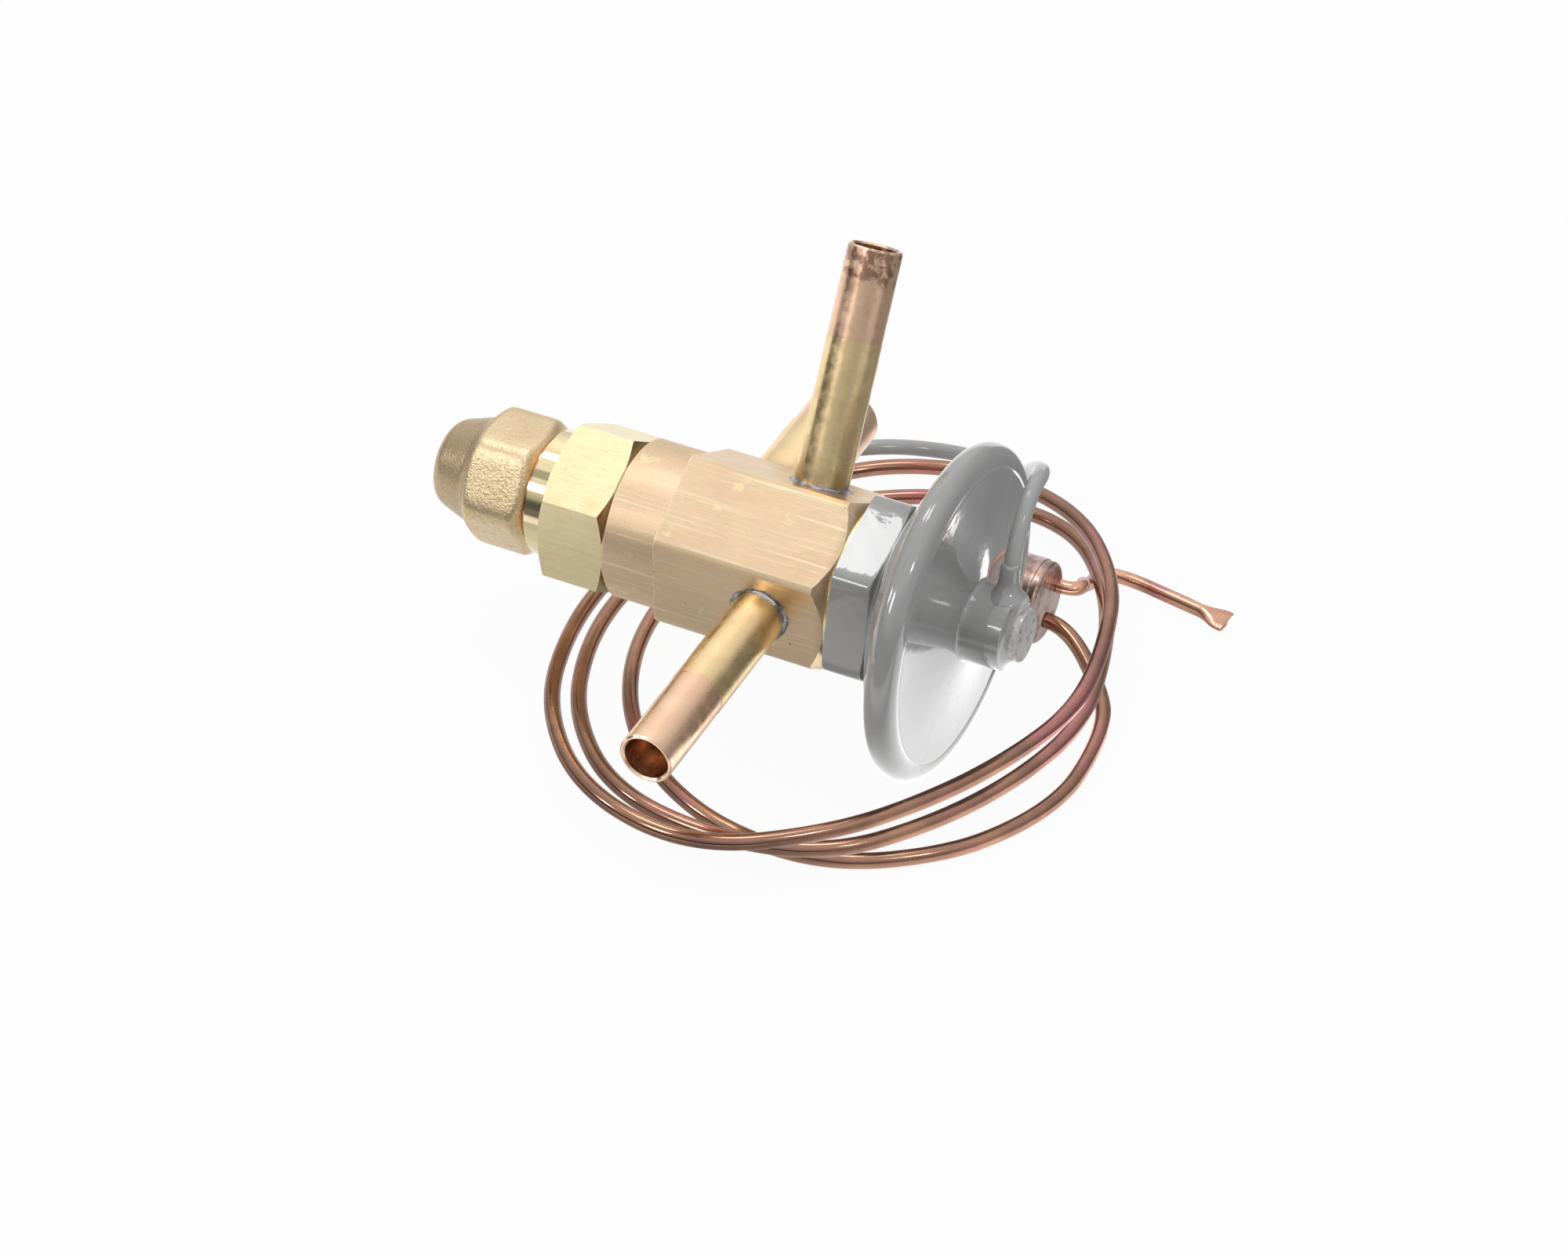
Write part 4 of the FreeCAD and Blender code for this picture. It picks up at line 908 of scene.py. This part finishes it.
def feed(tree, shader, **links):
    for word, value in links.items():
        tree.links.new(value, shader.inputs[word.replace("_", " ")])


def bump(tree, height, distance, strength):
    """Normal of a relief whose full height is a distance in millimetres."""
    values = {"Height": height, "Distance": distance * MM, "Strength": strength}
    return put(tree, "Bump", values).outputs[0]


# %% [markdown]
# ## Body brass
#
# The body is hexagonal bar: its flats keep long mill lines and small scratches, the round end is
# turned to an even satin grain, and handling leaves the ridges bright. The pinkish tan is a thin
# film of tarnish, so it is a base colour that drifts, with yellow patches where it is rubbed off.

# %% Body brass
def make_body_brass():
    material, tree, shader, place = finish("satin_body_brass", 1.0, 0.36)
    x = part_of(tree, place, "X")
    is_round = spread(tree, x, -16.4, -16.6)
    mill = effect(tree, fine_lines, Place=millimetres(tree, stretch=(0.10, 1, 1)), Spacing=0.22)
    satin = noise(tree, place, 4.0, 3.0)
    lines = mix(tree, is_round, mill.outputs["Height"], satin)
    along_bar = millimetres(tree, stretch=(0.5, 1, 1))
    tarnish = blotch(tree, along_bar, 7.0, 0.5, 0.2)
    colour = mix(tree, tarnish, (0.83, 0.63, 0.41), (0.76, 0.56, 0.35))
    turned_end = mix(tree, tarnish, (0.82, 0.62, 0.42), (0.76, 0.57, 0.37))
    colour = over(tree, colour, turned_end, is_round)
    pinkish = blotch(tree, place, 5.0, 0.55, 0.1)
    colour = over(tree, colour, (0.80, 0.57, 0.40), pinkish, 0.5)
    along_flat = millimetres(tree, (0, 0, 0.2), (0.7, 1, 1))
    rubbed = blotch(tree, along_flat, 3.5, 0.64, 0.03)
    colour = over(tree, colour, (0.90, 0.75, 0.42), rubbed, 0.8)
    colour = mix(tree, 1.0, colour, spread(tree, lines, 0.35, 0.65, 0.95, 1.03), "MULTIPLY")
    first_way = millimetres(tree, (0.0, 0.2, 0.7), (0.035, 2.2, 2.2))
    scratches = effect(tree, fine_lines, Place=first_way, Spacing=0.9).outputs["Mask"]
    other_way = millimetres(tree, (0.3, 0.0, -0.5), (0.04, 2.0, 2.0))
    more = effect(tree, fine_lines, Place=other_way, Spacing=1.1).outputs["Mask"]
    scratch = math_node(tree, "MAXIMUM", scratches, more)
    edge = edge_wear(tree, place, 0.45)
    bright = math_node(tree, "MAXIMUM", edge, times(tree, scratch, 0.9))
    colour = over(tree, colour, (0.97, 0.86, 0.62), bright)
    dots = mask(tree, specks, Place=place, Pitch=2.4, Radius=0.13, Share=0.30)
    colour = over(tree, colour, (0.20, 0.13, 0.07), dots, 0.75)
    # Painted shade: the body is painted darker towards its end against the element.
    dark_end = spread(tree, x, 8.2, 9.6)
    colour = over(tree, colour, (0.42, 0.30, 0.17), dark_end, 0.35)
    feed(tree, shader, Base_Color=colour,
         Roughness=spread(tree, is_round, 0.0, 1.0, 0.34, 0.50),
         Normal=bump(tree, lines, 0.006, 0.3))
    return material


# %% [markdown]
# ## Drawn bar brass
#
# The spring housing is cut from fresh drawn bar: yellower, brighter, with lines that run the
# length of each flat. Its neck, left of the hexagon, is turned and polished like a mirror.

# %% Bar brass with a polished neck
NICKED_SPOT = (-30.6, -6.3, 9.4)


def make_bar_brass():
    material, tree, shader, place = finish("bright_bar_brass", 1.0, 0.25)
    along_bar = millimetres(tree, stretch=(0.06, 1, 1))
    lengthwise = effect(tree, fine_lines, Place=along_bar, Spacing=0.16).outputs["Height"]
    along_bar = millimetres(tree, stretch=(0.05, 1, 1))
    streaks = effect(tree, fine_lines, Place=along_bar, Spacing=0.7).outputs["Height"]
    x = part_of(tree, place, "X")
    is_neck = spread(tree, x, -35.35, -35.45)
    facing = part_of(tree, put(tree, "NewGeometry").outputs["Normal"], "X")
    # Painted shade: the nut's chamfer next to the body is painted dark, as the shade in the gap between
    # them.
    at_shoulder = spread(tree, x, -27.6, -27.0)
    painted_crevice_shade = times(tree, spread(tree, facing, 0.15, 0.4), at_shoulder)
    tarnish = blotch(tree, place, 3.5, 0.52, 0.15)
    colour = mix(tree, tarnish, (0.94, 0.81, 0.50), (0.92, 0.77, 0.45))
    for height, darkest in ((lengthwise, 0.93), (streaks, 0.95)):
        colour = mix(tree, 1.0, colour, spread(tree, height, 0.35, 0.6, darkest, 1.0), "MULTIPLY")
    long_dents = millimetres(tree, stretch=(0.45, 1.3, 1.3))
    nicks = blotch(tree, long_dents, 1.0, 0.68, 0.03)
    from_nicks = measure(tree, "DISTANCE", place, NICKED_SPOT)
    nicks = times(tree, nicks, spread(tree, from_nicks, 4.4, 1.5, 0.0, 0.75))
    colour = over(tree, colour, (0.30, 0.23, 0.10), nicks)
    edge = edge_wear(tree, place, 0.3)
    colour = over(tree, colour, (1.0, 0.93, 0.70), edge, 0.8)
    colour = over(tree, colour, (0.22, 0.14, 0.06), painted_crevice_shade, 0.85)
    rough = spread(tree, lengthwise, 0.3, 0.7, 0.24, 0.34)
    rough = times(tree, rough, spread(tree, is_neck, 0.0, 1.0, 1.0, 0.22))
    on_flats = math_node(tree, "SUBTRACT", 1.0, is_neck)
    flat_height = times(tree, lengthwise, on_flats)
    feed(tree, shader, Base_Color=colour, Roughness=rough, Normal=bump(tree, flat_height, 0.006, 0.4))
    return material


# %% [markdown]
# ## Stamped brass
#
# The cap keeps the grainy skin of its die: tiny grains that catch the light one by one.

# %% Stamped brass
def make_cast_brass():
    material, tree, shader, place = finish("cast_cap_brass", 1.0, 0.33)
    grain = noise(tree, place, 2.6, 3.0, 0.6)
    tarnish = blotch(tree, place, 5.0, 0.5, 0.25)
    colour = mix(tree, tarnish, (0.84, 0.66, 0.43), (0.76, 0.58, 0.35))
    colour = over(tree, colour, (0.50, 0.36, 0.20), spread(tree, grain, 0.50, 0.36), 0.35)
    # Painted shade: the nose, which faces away from the light, is painted darker.
    painted_nose_shade = spread(tree, part_of(tree, place, "X"), -47.9, -49.0)
    colour = over(tree, colour, (0.36, 0.26, 0.16), painted_nose_shade, 0.62)
    edge = edge_wear(tree, place, 0.8)
    colour = over(tree, colour, (0.92, 0.76, 0.50), edge, 0.5)
    feed(tree, shader, Base_Color=colour, Roughness=spread(tree, grain, 0.35, 0.65, 0.40, 0.26),
         Normal=bump(tree, grain, 0.16, 0.55))
    return material


# %% [markdown]
# ## Copper tubes, heated at the body
#
# The tubes are copper, golden from the brazing heat near the body and pinker past each seam,
# where the socket was swaged. One way to find how far along a tube a point is: the dot product
# of its place with the tube's own direction.

# %% Connection tubes
def make_tube_copper(name, way, seam, burnt_from):
    material, tree, shader, place = finish(name, 1.0, 0.26)
    gone = measure(tree, "DOT_PRODUCT", place, way)
    wobble = noise(tree, place, 0.5, 3.0)
    drift = times(tree, math_node(tree, "SUBTRACT", wobble, 0.5), 0.8)
    gone = math_node(tree, "ADD", gone, drift)
    tarnish = blotch(tree, place, 3.0, 0.5, 0.2)
    golden = mix(tree, tarnish, (0.96, 0.74, 0.42), (0.90, 0.67, 0.36))
    coppery = mix(tree, tarnish, (0.95, 0.66, 0.46), (0.90, 0.59, 0.40))
    colour = mix(tree, spread(tree, gone, seam - 0.25, seam + 0.25), golden, coppery)
    burnt = blotch(tree, place, 1.6, 0.5, 0.06)
    dark_end = times(tree, burnt, spread(tree, gone, burnt_from, burnt_from + 2.0))
    colour = over(tree, colour, (0.42, 0.24, 0.17), dark_end)
    dots = mask(tree, specks, Place=place, Pitch=1.5, Radius=0.12, Share=0.35)
    colour = over(tree, colour, (0.28, 0.17, 0.10), dots, 0.5)
    root = spread(tree, gone, 15.5, 12.0)
    colour = over(tree, colour, (0.30, 0.22, 0.14), root, 0.6)
    edge = edge_wear(tree, place, 0.4)
    colour = over(tree, colour, (0.98, 0.76, 0.60), edge)
    feed(tree, shader, Base_Color=colour, Roughness=spread(tree, wobble, 0.3, 0.7, 0.20, 0.34),
         Normal=bump(tree, wobble, 0.05, 0.35))
    return material


# %% Solder
def make_solder():
    material, tree, shader, place = finish("silver_solder", 1.0, 0.28)
    skin = blotch(tree, place, 1.4, 0.5, 0.15)
    colour = mix(tree, skin, (0.50, 0.50, 0.52), (0.22, 0.19, 0.17))
    lumps = noise(tree, place, 1.4, 3.0)
    feed(tree, shader, Base_Color=colour, Normal=bump(tree, lumps, 0.25, 0.6))
    return material


# %% [markdown]
# ## Grey enamel
#
# The power element, its hub and the first stretch of the capillary were dipped in grey enamel.
# It is a plastic-like coat with a hard gloss: slight orange peel, edges rubbed paler, and tiny
# dark bubbles on the lower part of the cover.

# %% Grey enamel
ENAMEL = (0.27, 0.27, 0.267)


def make_enamel():
    material, tree, shader, place = finish(
        "grey_dipped_enamel", 0.0, 0.16, IOR=1.5, Coat_Weight=1.0, Coat_Roughness=0.03, Coat_IOR=1.65)
    cloud = blotch(tree, place, 7.0, 0.5, 0.25)
    colour = mix(tree, cloud, ENAMEL, (0.295, 0.295, 0.292))
    x = part_of(tree, place, "X")
    is_cover = spread(tree, x, 25.3, 25.6)
    low_face = times(tree, is_cover, spread(tree, part_of(tree, place, "Z"), 1.0, -4.0))
    pits = mask(tree, specks, Place=place, Pitch=2.2, Radius=0.30, Share=0.22)
    pits = times(tree, pits, low_face)
    colour = over(tree, colour, (0.08, 0.08, 0.08), pits, 0.7)
    edge = edge_wear(tree, place, 0.35)
    colour = over(tree, colour, (0.60, 0.60, 0.59), edge, 0.35)
    # Painted reflection: the hub's end face is painted paler, as the bright table mirrored in it; the
    # dark pitted spots on it are the paint's own.
    hub_end = spread(tree, x, 34.2, 34.5)
    pitted = times(tree, hub_end, blotch(tree, place, 1.4, 0.56, 0.05))
    colour = over(tree, colour, (0.62, 0.60, 0.58), hub_end, 0.6)
    colour = over(tree, colour, (0.20, 0.17, 0.15), pitted)
    peel = noise(tree, place, 0.45, 2.0, 0.4)
    peel = math_node(tree, "ADD", peel, times(tree, pitted, -0.6))
    peel = math_node(tree, "SUBTRACT", peel, times(tree, pits, 0.5))
    skin = bump(tree, peel, 0.12, 0.22)
    feed(tree, shader, Base_Color=colour, Normal=skin, Coat_Normal=skin)
    return material


# %% [markdown]
# ## Tarnished capillary and bulb
#
# The capillary is dull brown copper that glints pink and orange. The grey enamel ends raggedly
# some 150 mm from the hub, so its mask follows the distance along the tube.

# %% Capillary, tail and bulb
PAINT_END = 150.0


def make_capillary_copper(name, painted, lightness=1.0):
    material, tree, shader, place = finish(name, 1.0, 0.24)
    cloud = blotch(tree, place, 14.0, 0.5, 0.2)
    brown = tuple(lightness * part for part in (0.29, 0.16, 0.12))
    orange = tuple(lightness * part for part in (0.45, 0.245, 0.16))
    colour = mix(tree, cloud, brown, orange)
    pink = blotch(tree, place, 22.0, 0.56, 0.06)
    colour = over(tree, colour, (0.50, 0.20, 0.205), pink, 0.8)
    dull = blotch(tree, place, 5.0, 0.55, 0.2)
    colour = over(tree, colour, (0.20, 0.115, 0.09), dull, 0.4)
    rough = spread(tree, dull, 0.0, 1.0, 0.12, 0.24)
    relief = noise(tree, place, 0.5, 2.0)
    feed(tree, shader, Normal=bump(tree, relief, 0.02, 0.25))
    if painted:
        gone = put(tree, "Attribute", attribute_name="along").outputs["Fac"]
        ragged = noise(tree, place, 0.8, 4.0)
        gone = math_node(tree, "ADD", gone, times(tree, ragged, 6.0))
        bare = spread(tree, gone, PAINT_END, PAINT_END + 0.8)
        colour = mix(tree, bare, (0.36, 0.36, 0.357), colour)
        rough = times(tree, rough, spread(tree, bare, 0.0, 1.0, 0.6, 1.0))
        feed(tree, shader, Metallic=bare)
    feed(tree, shader, Base_Color=colour, Roughness=rough)
    return material


def make_bulb_copper():
    material, tree, shader, place = finish("stained_bulb_copper", 1.0, 0.30)
    cloud = blotch(tree, place, 5.0, 0.5, 0.2)
    colour = mix(tree, cloud, (0.50, 0.35, 0.32), (0.70, 0.55, 0.51))
    stain = blotch(tree, place, 2.5, 0.51, 0.08)
    colour = over(tree, colour, (0.20, 0.125, 0.105), stain, 0.75)
    warm = blotch(tree, place, 6.0, 0.60, 0.08)
    colour = over(tree, colour, (0.66, 0.38, 0.28), warm, 0.6)
    edge = edge_wear(tree, place, 0.5)
    colour = over(tree, colour, (0.82, 0.66, 0.58), edge)
    dents = noise(tree, place, 0.5, 2.0)
    feed(tree, shader, Base_Color=colour, Roughness=spread(tree, cloud, 0.0, 1.0, 0.24, 0.36),
         Normal=bump(tree, dents, 0.12, 0.5))
    return material


# %% Steel and packing for what the housing hides
def make_steel():
    material, tree, shader, place = finish("plain_steel", 1.0, 0.32)
    rings = effect(tree, fine_lines, Place=millimetres(tree, stretch=(1, 0.05, 0.05)), Spacing=0.3)
    cloud = blotch(tree, place, 3.0, 0.5, 0.2)
    colour = mix(tree, cloud, (0.58, 0.57, 0.56), (0.48, 0.47, 0.46))
    edge = edge_wear(tree, place, 0.3)
    colour = over(tree, colour, (0.75, 0.75, 0.74), edge)
    feed(tree, shader, Base_Color=colour, Normal=bump(tree, rings.outputs["Height"], 0.01, 0.5))
    return material


def make_packing():
    material, tree, shader, place = finish("black_packing", 0.0, 0.7)
    fibre = noise(tree, place, 4.0, 4.0)
    colour = mix(tree, fibre, (0.03, 0.03, 0.03), (0.09, 0.085, 0.08))
    feed(tree, shader, Base_Color=colour, Normal=bump(tree, fibre, 0.05, 0.6))
    return material


# %% Give every piece its finish
body_brass = make_body_brass()
bar_brass = make_bar_brass()
cast_brass = make_cast_brass()
solder = make_solder()
enamel = make_enamel()
inlet_copper = make_tube_copper("inlet_tube_copper", INLET_WAY, 31.2, 60.0)
equalizer_copper = make_tube_copper("equalizer_tube_copper", EQUALIZER_WAY, 33.3, 40.5)
outlet_copper = make_tube_copper("outlet_tube_copper", OUTLET_WAY, 26.8, 60.0)
plain_copper = make_capillary_copper("tail_copper", False, 1.9)
painted_copper = make_capillary_copper("capillary_copper", True)
bulb_copper = make_bulb_copper()
steel = make_steel()
packing = make_packing()
finishes = {
    "valve_body": body_brass, "spring_housing": bar_brass, "element_gasket": bar_brass,
    "valve_seat": bar_brass, "packing_gland": bar_brass, "seal_cap": cast_brass,
    "inlet_tube": inlet_copper, "equalizer_tube": equalizer_copper, "outlet_tube": outlet_copper,
    "cap_washer": plain_copper, "inlet_solder": solder, "equalizer_solder": solder,
    "outlet_solder": solder, "element_base": enamel, "element_cover": enamel, "hub_boss": enamel,
    "capillary_braze": enamel, "bulb_shell": bulb_copper, "bulb_end_cap": bulb_copper,
    "stem_seal": packing,
}
for name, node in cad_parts.items():
    node.data.materials.clear()
    node.data.materials.append(finishes.get(name, steel))
for piece, node, body, slot in STANDS_FOR:
    piece.data.materials.append(finishes[node])
capillary.data.materials.append(painted_copper)
# Mirror rays pass the capillary by: in the cover it would hide the bright patch of the table.
capillary.visible_glossy = False
tail.data.materials.append(plain_copper)
print("finishes:", len(bpy.data.materials))
